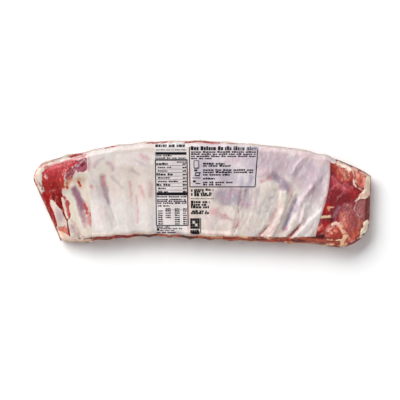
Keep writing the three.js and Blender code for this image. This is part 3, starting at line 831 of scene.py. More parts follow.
FLAP_END = daubs(
    (T.MAROON, B.CRISP, ((170, 47), (186, 45), (226, 27), (232, 20), (232, -39), (224, -56), (211, -67),
        (194, -77), (143, -77), (143, -58), (151, -50), (157, -35), (165, -7), (172, 31))),
    (T.ROSE, B.HAZY, ((178, 15), (194, 2)), 4.6, 3.5),
    (T.ROSE, B.HAZY, ((189, 9), (208, -1)), 4, 2.4),
    (T.SALMON, B.PATCHY, ((178, 30), (187, 18), (197, 9)), 1.1),
    (T.WINE, B.HAZY, ((174, 4), (190, 2), (201, -7), (199, -14), (186, -20), (178, -32), (172, -25),
        (167, -9))),
    (T.BRIGHT_DARK, B.HAZY, ((196, 10), (205, 8), (213, 3), (215, -1), (208, -7), (200, -11))),
    (T.BRICK_DARK, B.MISTY, ((172, 44), (184, 31), (189, 20), (182, 22), (174, 30))),
    (T.BRICK, B.HAZY, ((176, 36), (184, 24)), 2.6),
    (T.WINE, B.MISTY, ((174, 27), (172, 7)), 1.6),
    (T.BRICK, B.FRAYED, ((177, 39), (202, 28), (204, 23), (204, 16), (194, 14), (186, 17), (181, 27))),
    (T.SALMON, B.SOFT, ((183, 35), (200, 28), (200, 20), (194, 16), (189, 21))),
    (T.PINK_FAT, B.FINE, ((182, 38), (189, 28)), 0.7),
    (T.PINK_FAT, B.FINE, ((191, 29), (192, 18)), 0.7),
    (T.TAN, B.FAINT, ((194, 27), (193, 20)), 1.2),
    (T.PINK_FAT, B.THIN, ((198, 29), (199, 19)), 0.7),
    (T.BRICK_DARK, B.LIGHT, ((195, 25), (196, 21)), 1.2),
    (T.BRICK_DARK, B.LIGHT, ((187, 25), (190, 20)), 1.1),
    (T.SUET_PINK, B.FRAYED, ((172, 48), (181, 46), (204, 35), (203, 30), (198, 30), (191, 33), (184, 38),
        (177, 41))),
    (T.SUET, B.TORN, ((189, 36), (198, 32)), 1.6),
    (T.BRICK, B.PATCHY, ((182, 38), (189, 34)), 0.9),
    (T.RED_BROWN, B.TORN, ((200, 35), (208, 31)), 0.8),
    (T.PINK_FAT, B.FINE, ((175, 42), (192, 32), (200, 29)), 0.8),
    (T.WARM_FAT, B.LIGHT, ((181, 43), (189, 39)), 1.1),
    (T.PINK_FAT, B.CRISP, ((203, 36), (221, 28), (227, 24), (226, 20), (211, 28), (204, 29))),
    (T.RUST, B.FINE, ((181, 45), (182, 44)), 0.7),
    (T.SALMON_PALE, B.FRAYED, ((205, 30), (212, 28), (219, 25), (222, 18), (220, 8), (215, 5), (210, 10),
        (207, 16))),
    (T.LOBE, B.BILLOWY, ((210, 22), (216, 23), (219, 16), (218, 8), (213, 7), (209, 13), (208, 18))),
    (T.PINK_FAT, B.TORN, ((209, 28), (208, 15)), 0.7),
    (T.BRICK, B.TORN, ((214, 23), (212, 9)), 0.8),
    (T.RUST, B.TORN, ((211, 29), (216, 16)), 0.8),
    (T.PINK_FAT, B.FINE, ((202, 31), (205, 25), (205, 20)), 1.1, 0.8),
    (T.FAT_LIGHT, B.CRISP, ((204, 18), (205, 12), (208, 8), (213, 5)), 1, 0.9),
    (T.PINK_FAT, B.CRISP, ((213, 5), (216, 3), (219, 3)), 1.2),
    (T.PINK, B.FAINT, ((201, 8), (203, 6)), 1.2),
    # The fat along the flap's right end, painted paler as painted light on the side that faces away from the
    # key light
    (T.SUET, B.CRISP, ((222, 24), (226, 23), (232, 20), (232, -3), (227, -3), (223, -7), (215, -8),
        (205, -12), (218, 3))),
    (T.PINK_FAT, B.LIGHT, ((220, 20), (220, 6)), 1.2),
    (T.PINK_FAT, B.HAZY, ((219, 24), (217, 7)), 1.6),
    (T.WARM_FAT, B.MISTY, ((224, 15), (224, 2)), 1.6),
    (T.GREY_PINK, B.CRISP, ((206, -12), (213, -9), (222, -8), (219, -38), (211, -32), (204, -23))),
    (T.STRIP, B.CRISP, ((223, -7), (226, -4), (232, -3), (232, -37), (219, -38), (221, -11))),
    (T.UMBER, B.FINE, ((227, -7), (227, -32)), 0.6),
    # The same painted light on the fat of the flap's lower right corner
    (T.SUET, B.CRISP, ((217, -39), (223, -37), (230, -38), (231, -43), (226, -54), (216, -62), (213, -61),
        (213, -53))),
    (T.WARM_FAT, B.MISTY, ((224, -40), (220, -50)), 1.6),
    (T.UMBER, B.FINE, ((216, -43), (216, -47)), 0.7),
    (T.UMBER, B.FINE, ((214, -59), (218, -55)), 0.5),
    (T.RED_BROWN, B.FRAYED, ((203, -22), (210, -31), (218, -38), (215, -47), (205, -66), (197, -66),
        (195, -51), (191, -43), (195, -34))),
    (T.RUST_ORANGE, B.HAZY, ((209, -42), (215, -47), (210, -58), (203, -66), (199, -61))),
    (T.WINE, B.FAINT, ((202, -28), (208, -38), (207, -50)), 0.8),
    (T.WINE, B.FAINT, ((198, -38), (200, -52)), 0.9),
    (T.PINK_FAT, B.LIGHT, ((196, -53), (198, -61)), 0.7),
    (T.LOBE, B.MISTY, ((206, -58), (200, -63)), 1.4),
    (T.PINK_FAT, B.FINE, ((201, -66), (214, -60)), 0.7),
    (T.ROSE_BROWN, B.SOFT, ((190, -15), (203, -13), (203, -22), (194, -34), (188, -27))),
    (T.PINK_FAT, B.THIN, ((195, -17), (203, -14)), 0.5),
    (T.PINK_FAT, B.GHOST, ((191, -23), (196, -18)), 0.5),
    (T.SALMON, B.BILLOWY, ((190, -25), (196, -24), (197, -29), (192, -43), (187, -45), (185, -38))),
    (T.LENS, B.HAZY, ((192, -16), (206, -19), (214, -35), (213, -47), (202, -50), (194, -34))),
    (T.WINE, B.GHOST, ((200, -24), (208, -42)), 0.8),
    (T.WINE, B.GHOST, ((194, -28), (201, -47)), 0.7),
    (T.PINK_FAT, B.CRISP, ((191, -37), (193, -36)), 1.2),
    (T.PINK_FAT, B.FINE, ((194, -42), (195, -43)), 0.7),
    (T.PINK_FAT, B.FINE, ((196, -38), (196, -36)), 0.6),
    (T.PINK_FAT, B.LIGHT, ((187, -40), (189, -41)), 0.8),
    (T.PURPLE_GREY, B.MISTY, ((184, -16), (187, -19), (179, -36), (174, -37), (176, -28))),
    (T.PEARL, B.GHOST, ((186, -18), (180, -29)), 0.5),
    (T.BLOOD, B.SOFT, ((165, -14), (174, -14), (177, -18), (170, -19), (170, -25), (174, -29), (162, -30),
        (160, -26))),
    (T.TAN_FAT, B.TORN, ((170, -20), (171, -25)), 1.6),
    (T.PINK_FAT, B.TORN, ((174, -19), (177, -19)), 1.1),
    (T.BONE, B.CRISP, ((157, -31), (174, -31), (175, -34), (157, -35))),
    (T.WINE_DEEP, B.CRISP, ((173, -34), (179, -34), (175, -39), (168, -43), (163, -43))),
    (T.SALMON_PALE, B.TORN, ((155, -44), (163, -42), (162, -46), (158, -51), (153, -50))),
    (T.SALMON, B.FRAYED, ((168, -45), (174, -42), (178, -45), (175, -51), (173, -58), (164, -59),
        (159, -55))),
    (T.FLESH, B.TORN, ((170, -45), (171, -55)), 1.6),
    # Painted highlight of the film on the lower lobe's left side
    (T.SUET_PINK, B.PATCHY, ((163, -58), (174, -47)), 0.9),
    (T.BRICK, B.TORN, ((167, -53), (174, -58)), 1.4),
    (T.BRIGHT, B.FRAYED, ((168, -41), (159, -52)), 2.6, 2),
    (T.PINK_FAT, B.CRISP, ((174, -42), (180, -38), (186, -40), (191, -52), (192, -59), (189, -59),
        (187, -51), (183, -48), (178, -47))),
    (T.FAT_LIGHT, B.TORN, ((176, -42), (183, -41)), 1.4),
    (T.PINK_FAT, B.PATCHY, ((183, -43), (193, -53), (197, -61)), 3.0, 2.2),
    (T.APRICOT, B.HAZY, ((190, -46), (196, -58)), 2.4),
    (T.BRICK, B.PATCHY, ((174, -46), (181, -43)), 1.0),
    (T.LOBE_DARK, B.PATCHY, ((181, -46), (186, -48)), 0.9),
    (T.WARM_FAT, B.LIGHT, ((186, -46), (190, -56)), 1.6),
    (T.LOBE_DARK, B.SOFT, ((174, -51), (179, -48), (185, -49), (188, -54), (186, -60), (180, -61),
        (174, -61), (173, -56))),
    (T.PINK_FAT, B.FINE, ((174, -53), (175, -55)), 0.8),
    (T.SALMON_PALE, B.LIGHT, ((178, -51), (182, -52)), 0.9),
    # Pale pink streaks across the flap's dark muscle, in the next three marks: painted highlights of the
    # film's wrinkles
    (T.PINK, B.GHOST, ((174, 23), (182, 14)), 0.7),
    (T.PINK, B.GHOST, ((183, 12), (197, 4)), 1.0),
    (T.PINK, B.GHOST, ((194, 9), (186, -5)), 0.6),
    (T.PINK_FAT, B.TORN, ((205, -12), (219, -4)), 0.7),
    (T.PINK_FAT, B.PATCHY, ((208, -8), (221, 0)), 1.3),
    (T.PINK_FAT, B.PATCHY, ((214, -4), (224, -3)), 2.4),
    # Two more painted highlights of the film's wrinkles
    (T.PINK, B.FINE, ((172, 4), (177, 9)), 0.5),
    (T.PINK, B.GHOST, ((184, -4), (180, -12)), 0.5),
    (T.PEARL, B.FINE, ((209, -9), (205, -22), (214, -36)), 0.5),
    (T.LOBE, B.PATCHY, ((182, -47), (194, -49)), 0.9),
    (T.LOBE_DARK, B.PATCHY, ((189, -57), (197, -54)), 0.7),
    # Pale salmon streak: painted highlights of the film on the lobe
    (T.SALMON_PALE, B.GHOST, ((186, -26), (194, -45)), 0.8),
    (T.PINK, B.GHOST, ((197, -39), (205, -58)), 0.6),
    (T.UMBER, B.THIN, ((174, 47), (186, 43), (221, 27)), 0.4),
)

NEAR_RIM = daubs(
    (T.SUET_PINK, B.FRAYED, ((-194, -54), (-186, -59), (-173, -61), (-159, -62), (-140, -59), (-136, -61),
        (-139, -67), (-165, -70), (-192, -70))),
    (T.RED_BROWN, B.FRAYED, ((-144, -64), (-111, -60), (-77, -58), (-36, -58), (24, -60), (65, -63),
        (146, -65)), 4.5),
    (T.BRICK_DARK, B.FRAYED, ((-142, -63), (-119, -61)), 3.2, 2.2),
    (T.BRIGHT_DARK, B.TORN, ((-119, -60), (-103, -58), (-92, -59)), 2.4),
    (T.RUST_ORANGE, B.MISTY, ((-8, -61), (81, -65), (151, -67)), 3.2),
    (T.BRICK_DARK, B.TORN, ((73, -63), (140, -65)), 1.1),
    (T.UMBER, B.TORN, ((-111, -59), (-96, -60)), 1.4),
    (T.TAN_FAT, B.TORN, ((-88, -57), (-70, -57)), 0.9),
    (T.UMBER, B.FRAYED, ((-88, -59), (-65, -59)), 2.6),
    (T.UMBER, B.PATCHY, ((-59, -61), (-32, -61)), 1.4),
    (T.UMBER, B.FRAYED, ((-26, -60), (-7, -61)), 2),
    (T.TAN_FAT, B.PATCHY, ((-59, -58), (-35, -58)), 0.8),
    (T.TAN_FAT, B.FRAYED, ((1, -58), (26, -60)), 1.8),
    (T.RUST_ORANGE, B.TORN, ((-4, -60), (11, -61)), 1.1),
    (T.UMBER, B.TORN, ((1, -62), (27, -63)), 1.1),
    (T.WARM_FAT, B.TORN, ((50, -58), (60, -60)), 1.4),
    (T.BRICK_DARK, B.TORN, ((30, -61), (42, -61)), 1.4),
    (T.UMBER, B.TORN, ((49, -65), (70, -65)), 0.9),
    (T.UMBER, B.TORN, ((68, -62), (81, -64)), 1.2),
    (T.WARM_FAT, B.TORN, ((84, -60), (92, -62)), 1.2),
    (T.RUST_ORANGE, B.TORN, ((81, -67), (100, -67)), 1.1),
    (T.WARM_FAT, B.TORN, ((113, -66), (124, -67)), 1.0),
    (T.UMBER, B.TORN, ((122, -64), (138, -65)), 1.1),
    (T.UMBER, B.TORN, ((-181, -67), (-151, -66)), 0.6),
    (T.TAN_FAT, B.PATCHY, ((-184, -63), (-170, -65), (-148, -63)), 0.7),
    (T.BRIGHT_DARK, B.PATCHY, ((-141, -59), (-92, -58)), 1.2),
    (T.UMBER, B.THIN, ((-159, -62), (-124, -59)), 0.7),
    (T.UMBER, B.PATCHY, ((-143, -66), (-97, -63), (-36, -62), (149, -71)), 0.8),
    (T.RUST, B.FRAYED, ((164, -61), (187, -61), (191, -63), (187, -77), (159, -77), (153, -69))),
    (T.RED_BROWN, B.TORN, ((166, -67), (181, -69)), 1.9),
    (T.WARM_FAT, B.CRISP, ((168, -62), (178, -64), (187, -63)), 0.8),
    (T.WARM_FAT, B.TORN, ((167, -69), (184, -71)), 0.9),
    (T.TAN_FAT, B.FINE, ((176, -67), (184, -67)), 0.5),
    (T.WARM_FAT, B.TORN, ((188, -61), (193, -57), (198, -58), (195, -65), (193, -75), (184, -75))),
    (T.LOBE_DARK, B.PATCHY, ((196, -61), (191, -70)), 1.2),
    (T.TAN_FAT, B.PATCHY, ((190, -63), (186, -73)), 1.0),
    (T.UMBER, B.FRAYED, ((140, -59), (151, -58), (164, -55), (166, -60), (155, -63), (140, -64))),
    (T.WINE_DEEP, B.LIGHT, ((149, -58), (164, -51)), 1.5),
    (T.RED_BROWN, B.FRAYED, ((143, -65), (166, -64)), 1.8),
    (T.RUST_ORANGE, B.PATCHY, ((129, -61), (156, -63)), 1.4),
    (T.WARM_FAT, B.LIGHT, ((147, -67), (161, -68)), 0.9),
)

FAR_RIM = daubs(
    (T.FROST, B.TORN, ((-165, 56), (-132, 61), (-84, 67), (-30, 69), (24, 68), (65, 65)), 3.5),
    (T.BRICK, B.TORN, ((-130, 62), (-112, 66)), 1.8),
    (T.BRICK, B.TORN, ((-76, 69), (-40, 70)), 1.8),
    (T.LEAN, B.TORN, ((-22, 70), (1, 70)), 2.3),
    (T.SALMON, B.TORN, ((-22, 67), (-3, 67)), 1.2),
    (T.BRICK, B.TORN, ((-3, 69), (16, 68)), 2.2),
    (T.SALMON, B.TORN, ((5, 66), (27, 66)), 1.4),
    (T.BRICK, B.PATCHY, ((15, 69), (46, 67)), 1.6),
    (T.FROST, B.TORN, ((51, 66), (81, 64), (132, 58), (154, 54), (176, 45)), 3.5),
    (T.UMBER, B.TORN, ((96, 63), (111, 61)), 0.5),
    (T.RUST, B.THIN, ((154, 56), (165, 52)), 0.5),
)


def deselect_all() -> None:
    """Leaves nothing selected, the CAD nodes included."""
    bpy.ops.object.select_all(action="DESELECT")


def pick(piece: Piece) -> None:
    """Selects one piece and makes it the active one.

    Args:
        piece: The piece.
    """
    deselect_all()
    piece.select_set(True)
    bpy.context.view_layer.objects.active = piece


def read_points(mesh: bpy.types.Mesh, what: str = "co") -> Array:
    """Reads a vector from each vertex of a mesh.

    Args:
        mesh: The mesh.
        what: "co" for the places, or "normal".

    Returns:
        The vectors, one a row.
    """
    values = np.empty(len(mesh.vertices) * 3)
    mesh.vertices.foreach_get(what, values)
    return values.reshape(-1, 3)


def write_points(mesh: bpy.types.Mesh, points: Array) -> None:
    """Puts a mesh's vertices at points given in metres."""
    mesh.vertices.foreach_set("co", points.ravel())
    mesh.update()


def write_attribute(mesh: bpy.types.Mesh, name: str, values: Array, kind: str = "FLOAT_COLOR") -> None:
    """Stores a number, a linear colour or a vector for each vertex.

    Args:
        mesh: The mesh.
        name: The attribute's name.
        values: One number, or a row of three, for each vertex.
        kind: FLOAT, FLOAT_COLOR or FLOAT_VECTOR.
    """
    if kind == "FLOAT_COLOR":
        values = np.column_stack((values, np.ones(len(values))))
    attribute = mesh.attributes.new(name, kind, "POINT")
    attribute.data.foreach_set(ATTRIBUTE_FIELDS[kind], values.astype(np.float32).ravel())


def apply_modifier(piece: Piece, kind: str, **settings: object) -> None:
    """Adds a modifier and applies it.

    Args:
        piece: The piece.
        kind: The modifier's type.
        settings: Its properties.
    """
    pick(piece)
    modifier = piece.modifiers.new(kind.title(), kind)
    for name, value in settings.items():
        setattr(modifier, name, value)
    bpy.ops.object.modifier_apply(modifier=modifier.name)


def pass_light(piece: Piece) -> None:
    """Lets the lamps through a thin film, so that what lies behind it is lit in full."""
    piece.visible_shadow = False
    piece.visible_diffuse = False


def unit_sheet(name: str, columns: int, rows: int) -> Piece:
    """A flat grid from (0, 0) to (1, 1), ready to be laid on the rack.

    Args:
        name: The piece's name.
        columns: Faces along X.
        rows: Faces along Y.

    Returns:
        The new piece.
    """
    deselect_all()
    middle = (0.5, 0.5, 0)
    bpy.ops.mesh.primitive_grid_add(x_subdivisions=columns, y_subdivisions=rows, size=1, location=middle)
    piece = bpy.context.active_object
    bpy.ops.object.transform_apply(location=True, rotation=False, scale=False)
    piece.name = piece.data.name = name
    return piece


def unit_slab(name: str, columns: int, rows: int, layers: int) -> Piece:
    """A closed slab on the unit square whose wall has one ring for each layer.

    Args:
        name: The piece's name.
        columns: Faces along X.
        rows: Faces along Y.
        layers: Rings up the wall.

    Returns:
        The new piece, its top at z = layers.
    """
    piece = unit_sheet(name, columns, rows)
    bpy.ops.object.mode_set(mode="EDIT")
    bpy.ops.mesh.select_all(action="SELECT")
    for _ in range(layers):
        bpy.ops.mesh.extrude_region_move(TRANSFORM_OT_translate={"value": (0, 0, 1)})
    bpy.ops.mesh.select_all(action="SELECT")
    bpy.ops.mesh.normals_make_consistent(inside=False)
    bpy.ops.object.mode_set(mode="OBJECT")
    bpy.ops.object.shade_smooth()
    return piece


def add(tree: bpy.types.NodeTree, kind: str, links: dict, **settings: object) -> bpy.types.Node:
    """Adds a shader node with its settings and links.

    Args:
        tree: The material's or the world's node tree.
        kind: The node's type name.
        links: What each input takes: an output socket, or a value.
        settings: Properties of the node.

    Returns:
        The new node.
    """
    node = tree.nodes.new(kind)
    for name, value in settings.items():
        setattr(node, name, value)
    for name, value in links.items():
        if isinstance(value, bpy.types.NodeSocket):
            tree.links.new(value, node.inputs[name])
        else:
            node.inputs[name].default_value = value
    return node


def per_mm(size: float) -> float:
    """The texture scale that makes a blotch of that size in mm on Object coordinates in metres."""
    return 1 / (size * MM)


class MaterialMaker:
    """A node material in the making, with the nodes that this pack's materials share."""

    def __init__(self, name: str) -> None:
        """Starts an empty node material.

        Args:
            name: The material's name.
        """
        self.material = bpy.data.materials.new(name)
        self.material.use_nodes = True
        self.tree = self.material.node_tree
        self.tree.nodes.clear()

    def node(self, kind: str, links: dict, **settings: object) -> Socket:
        """Adds a shader node and gives its first output."""
        return add(self.tree, kind, links, **settings).outputs[0]

    def coords(self) -> Socket:
        """The place on the piece, in metres."""
        return add(self.tree, "ShaderNodeTexCoord", {}).outputs["Object"]

    def attribute(self, name: str, output: str = "Fac") -> Socket:
        """What a mesh attribute holds."""
        return add(self.tree, "ShaderNodeAttribute", {}, attribute_name=name).outputs[output]

    def drawn(self, coords: Socket, degrees: float, stretch: float) -> Socket:
        """Coordinates on which a noise is drawn long along Y and leans."""
        turn = (0, 0, math.radians(degrees))
        return self.node("ShaderNodeMapping", {"Vector": coords, "Rotation": turn, "Scale": (1, stretch, 1)})

    def noise(self, vector: Socket, scale: float, **inputs: float) -> Socket:
        """The value of a noise texture."""
        return self.node("ShaderNodeTexNoise", {"Vector": vector, "Scale": scale, **inputs})

    def maths(self, operation: str, *values: Socket | float, clamp: bool = False) -> Socket:
        """The result of one sum."""
        return self.node("ShaderNodeMath", dict(enumerate(values)), operation=operation, use_clamp=clamp)

    def fit(self, value: Socket, start: Point, end: Point = (0, 1), curve: str = "LINEAR") -> Socket:
        """Turns the range from start[0] to start[1] into that from end[0] to end[1]."""
        limits = zip(("From Min", "From Max", "To Min", "To Max"), (*start, *end))
        return self.node("ShaderNodeMapRange", {"Value": value, **dict(limits)}, interpolation_type=curve)

    def shaded(self, colour: Socket, value: Socket) -> Socket:
        """A colour made darker or lighter."""
        return self.node("ShaderNodeHueSaturation", {"Value": value, "Color": colour})

    def mix(self, share: Socket, first: object, second: object) -> Socket:
        """Two colours mixed by a share."""
        links = {"Factor": share, "A": first, "B": second}
        return add(self.tree, "ShaderNodeMix", links, data_type="RGBA").outputs["Result"]

    def bump(self, height: Socket, strength: float, depth: float) -> Socket:
        """A normal that stands for relief, its depth in mm."""
        return self.node("ShaderNodeBump", {"Height": height, "Strength": strength, "Distance": depth * MM})

    def finish(self, surface: Socket) -> Material:
        """Puts the surface on the material's output."""
        add(self.tree, "ShaderNodeOutputMaterial", {"Surface": surface})
        return self.material


@dataclass(frozen=True)
class RawPork:
    """Raw pork, cut and chilled: moist muscle in fibres, laced with fat, and slightly translucent.

    The fibres' own width is under 0.1 mm, too fine to show, so bundles of them are drawn instead.
    """

    bundle: float = 1.8
    lace: float = 2.6
    mottle: float = 7.0
    lace_strength: float = 1.8
    lace_edge: Point = (0.26, 0.74)
    lean_values: Point = (0.52, 1.5)
    fat_values: Point = (0.86, 1.1)
    broad_values: Point = (1.17, 0.83)
    fat_relief: float = 1.5
    grain_strength: float = 0.6
    grain_depth: float = 0.3
    roughness: float = 0.45

    def build(self) -> Material:
        """Builds the material on the attributes lean, fat, fat_share and flow.

        Returns:
            The material.
        """
        maker = MaterialMaker("raw_pork")
        lean, fat = (maker.attribute(name, "Color") for name in ("lean", "fat"))
        flow = maker.attribute("flow", "Vector")
        bundles = maker.noise(flow, 1 / self.bundle, Detail=4, Roughness=0.6, Distortion=0.3)
        lace = maker.noise(flow, 1 / self.lace, Detail=5, Roughness=0.65)
        mottle = maker.noise(flow, 1 / self.mottle, Detail=5, Roughness=0.6)
        centred = maker.maths("SUBTRACT", lace, 0.5)
        frayed = maker.maths("MULTIPLY_ADD", centred, self.lace_strength, maker.attribute("fat_share"))
        laced = maker.fit(frayed, self.lace_edge, curve="SMOOTHSTEP")
        broad = maker.fit(lace, NOISE_RANGE, self.broad_values)
        lean_value = maker.maths("MULTIPLY", maker.fit(bundles, NOISE_RANGE, self.lean_values), broad)
        fat_value = maker.fit(mottle, NOISE_RANGE, self.fat_values)
        colour = maker.mix(laced, maker.shaded(lean, lean_value), maker.shaded(fat, fat_value))
        height = maker.maths("MULTIPLY_ADD", laced, self.fat_relief, bundles)
        surface = {
            "Base Color": colour, "Roughness": self.roughness, "IOR": 1.4, "Specular IOR Level": 0.15,
            "Normal": maker.bump(height, self.grain_strength, self.grain_depth),
            "Subsurface Weight": 0.08, "Subsurface Radius": (1.0, 0.4, 0.3), "Subsurface Scale": 1.2 * MM,
        }
        return maker.finish(maker.node("ShaderNodeBsdfPrincipled", surface))


@dataclass(frozen=True)
class ShrinkFilm:
    """Clear multilayer shrink film, heat shrunk: it shows only as a wet gloss over fine wrinkles."""

    roughness: float = 0.16
    ior: float = 1.36
    wrinkle: float = 5.0
    pucker: float = 1.6
    pucker_share: float = 0.35
    lean: float = 20
    stretch: float = 0.35
    strength: float = 0.8
    depth: float = 1.05

    def build(self) -> Material:
        """Builds the material: see-through, with a mirror-like share by Fresnel.

        Returns:
            The material.
        """
        maker = MaterialMaker("clear_shrink_film")
        coords = maker.coords()
        # The film is drawn tight along the rack, so its wrinkles run across and lean a little
        drawn = maker.drawn(coords, self.lean, self.stretch)
        wide = maker.noise(drawn, per_mm(self.wrinkle), Detail=3, Distortion=0.6)
        fine = maker.noise(coords, per_mm(self.pucker), Detail=2)
        height = maker.maths("MULTIPLY_ADD", fine, self.pucker_share, wide)
        bump = maker.bump(height, self.strength, self.depth)
        fresnel = maker.node("ShaderNodeFresnel", {"IOR": self.ior, "Normal": bump})
        share = maker.maths("MULTIPLY", fresnel, maker.attribute("bare"))
        clear = maker.node("ShaderNodeBsdfTransparent", {})
        gloss = maker.node("ShaderNodeBsdfGlossy", {"Roughness": self.roughness, "Normal": bump})
        return maker.finish(maker.node("ShaderNodeMixShader", {"Fac": share, 1: clear, 2: gloss}))


@dataclass(frozen=True)
class FrostedInk:
    """Translucent white ink on shrink film: milky and satin, and clearer where the film is wet through."""

    roughness: float = 0.36
    ior: float = 1.48
    mottle: float = 7.0
    unevenness: float = 0.09
    wrinkle: float = 2.2
    lean: float = 24
    stretch: float = 0.22
    strength: float = 0.6
    depth: float = 0.5

    def build(self) -> Material:
        """Builds the material on the attributes veil and cover.

        Returns:
            The material.
        """
        maker = MaterialMaker("frosted_white_ink")
        coords = maker.coords()
        mottle = maker.noise(coords, per_mm(self.mottle), Detail=6, Roughness=0.6)
        change = maker.fit(mottle, NOISE_RANGE, (-self.unevenness, self.unevenness))
        drawn = maker.drawn(coords, self.lean, self.stretch)
        lines = maker.noise(drawn, per_mm(self.wrinkle), Detail=4, Distortion=0.4)
        surface = {
            "Base Color": maker.attribute("veil", "Color"), "Roughness": self.roughness, "IOR": self.ior,
            "Alpha": maker.maths("ADD", maker.attribute("cover"), change, clamp=True),
            "Normal": maker.bump(lines, self.strength, self.depth),
        }
        return maker.finish(maker.node("ShaderNodeBsdfPrincipled", surface))


@dataclass(frozen=True)
class BlackInk:
    """Black flexographic ink on film: thin, satin and a little uneven, so it reads as dark slate."""

    colour: str = "08070C"
    worn: str = "302E38"
    speck: float = 1.1
    worn_range: Point = (0.4, 0.7)
    most_wear: float = 0.6

    def build(self) -> Material:
        """Builds the material.

        Returns:
            The material.
        """
        maker = MaterialMaker("black_print_ink")
        speck = maker.noise(maker.coords(), per_mm(self.speck), Detail=3)
        share = maker.fit(speck, self.worn_range, (0, self.most_wear))
        ink = maker.mix(share, (*linear(self.colour), 1), (*linear(self.worn), 1))
        surface = {"Base Color": ink, "Roughness": 0.5, "Specular IOR Level": 0.12, "Alpha": 0.98}
        return maker.finish(maker.node("ShaderNodeBsdfPrincipled", surface))


@dataclass
class Laid:
    """A mesh laid on the rack's form, with the shares and the places of its vertices."""

    piece: Piece
    u: Array
    v: Array
    layer: Array
    place: Array

    @property
    def x(self) -> Array:
        """Where the vertices are along the rack, in mm."""
        return self.place[:, 0]

    @property
    def y(self) -> Array:
        """Where the vertices are across the rack, in mm."""
        return self.place[:, 1]

    def commit(self, shift: Array) -> None:
        """Moves the mesh's vertices to their places, with the form's shift in mm."""
        write_points(self.piece.data, (self.place + shift) * MM)

    def normals(self, shift: Array) -> Array:
        """The mesh's normals at its present places, one a row."""
        self.commit(shift)
        return read_points(self.piece.data, "normal")


def tint(layer: Array, colour: Tissue | Veil, share: Array) -> None:
    """Moves the colours of a layer towards one colour, by a share for each vertex."""
    layer += (np.array(linear(colour.value)) - layer) * share[:, None]


class Palette:
    """Colours laid stroke by stroke over the vertices of a mesh."""

    def __init__(self, place: Array, seed: int, sway: float = 0.0, blur: float = 0.0) -> None:
        """Works out the noise that frays and bends the strokes.

        Args:
            place: The vertices in mm, one a row.
            seed: The seed of the noise.
            sway: How far in mm the strokes are bent.
            blur: How much softer in mm their edges are drawn.
        """
        self.blur = blur
        self.place = place
        self.noise = Noise(seed)
        self.ragged = self.noise.fractal(place, 5.0, 4)
        bend = (self.noise.fractal(place + offset, 11.0, 3) for offset in (211.0, 523.0))
        self.x, self.y = (place[:, axis] + sway * amount for axis, amount in enumerate(bend))

    def blend(self, colour: Tissue | Veil, share: Array) -> None:
        """Mixes a colour in, by a share for each vertex."""
        raise NotImplementedError

    def lay(self, strokes: tuple[Daub, ...], where: Array | float = 1.0) -> None:
        """Lays strokes in order, by how much of them each vertex takes."""
        for stroke in strokes:
            self.blend(stroke.colour, stroke.mask(self.x, self.y, self.ragged, self.blur) * where)

    def blotch(
        self, colour: Tissue | Veil, size: float | Triple, levels: Point, most: float, where: Array
    ) -> None:
        """Adds blotches of a size in mm: none at a noise's first level, and the most from its second on."""
        level = Noise(len(colour.name) * 7 + int(10 * levels[0]) % 97 + 11).fractal(self.place, size, 4)
        self.blend(colour, most * rise(level, *levels) * where)


class InkPalette(Palette):
    """One colour for each vertex."""

    def __init__(self, place: Array, base: Veil, seed: int) -> None:
        """Starts with one colour all over."""
        super().__init__(place, seed)
        self.colour = np.tile(linear(base.value), (len(place), 1))

    def blend(self, colour: Tissue | Veil, share: Array) -> None:
        """Mixes a colour in, by a share for each vertex."""
        tint(self.colour, colour, share)


class MeatPalette(Palette):
    """A colour of lean and a colour of fat for each vertex, and how much of it is fat."""

    def __init__(self, place: Array, seed: int) -> None:
        """Starts with silver skin all over.

        Args:
            place: The vertices in mm, one a row.
            seed: The seed of the noise that frays and bends the strokes.
        """
        super().__init__(place, seed, sway=0.6, blur=0.8)
        self.lean = np.tile(linear(Tissue.ROSE.value), (len(place), 1))
        self.fat = np.tile(linear(Tissue.MEMBRANE.value), (len(place), 1))
        self.fat_share = np.ones(len(place))

    def blend(self, colour: Tissue | Veil, share: Array) -> None:
        """Mixes a tissue in: the colour moves by its part of all that is of its kind there.

        Args:
            colour: The tissue.
            share: How much of it each vertex takes.
        """
        if colour.kind is Kind.STAIN:
            tint(self.lean, colour, share)
            tint(self.fat, colour, share)
            return
        fatty = colour.kind is Kind.FAT
        kept = (self.fat_share if fatty else 1 - self.fat_share) * (1 - share)
        tint(self.fat if fatty else self.lean, colour, share / np.maximum(share + kept, 1e-6))
        self.fat_share += ((1.0 if fatty else 0.0) - self.fat_share) * share


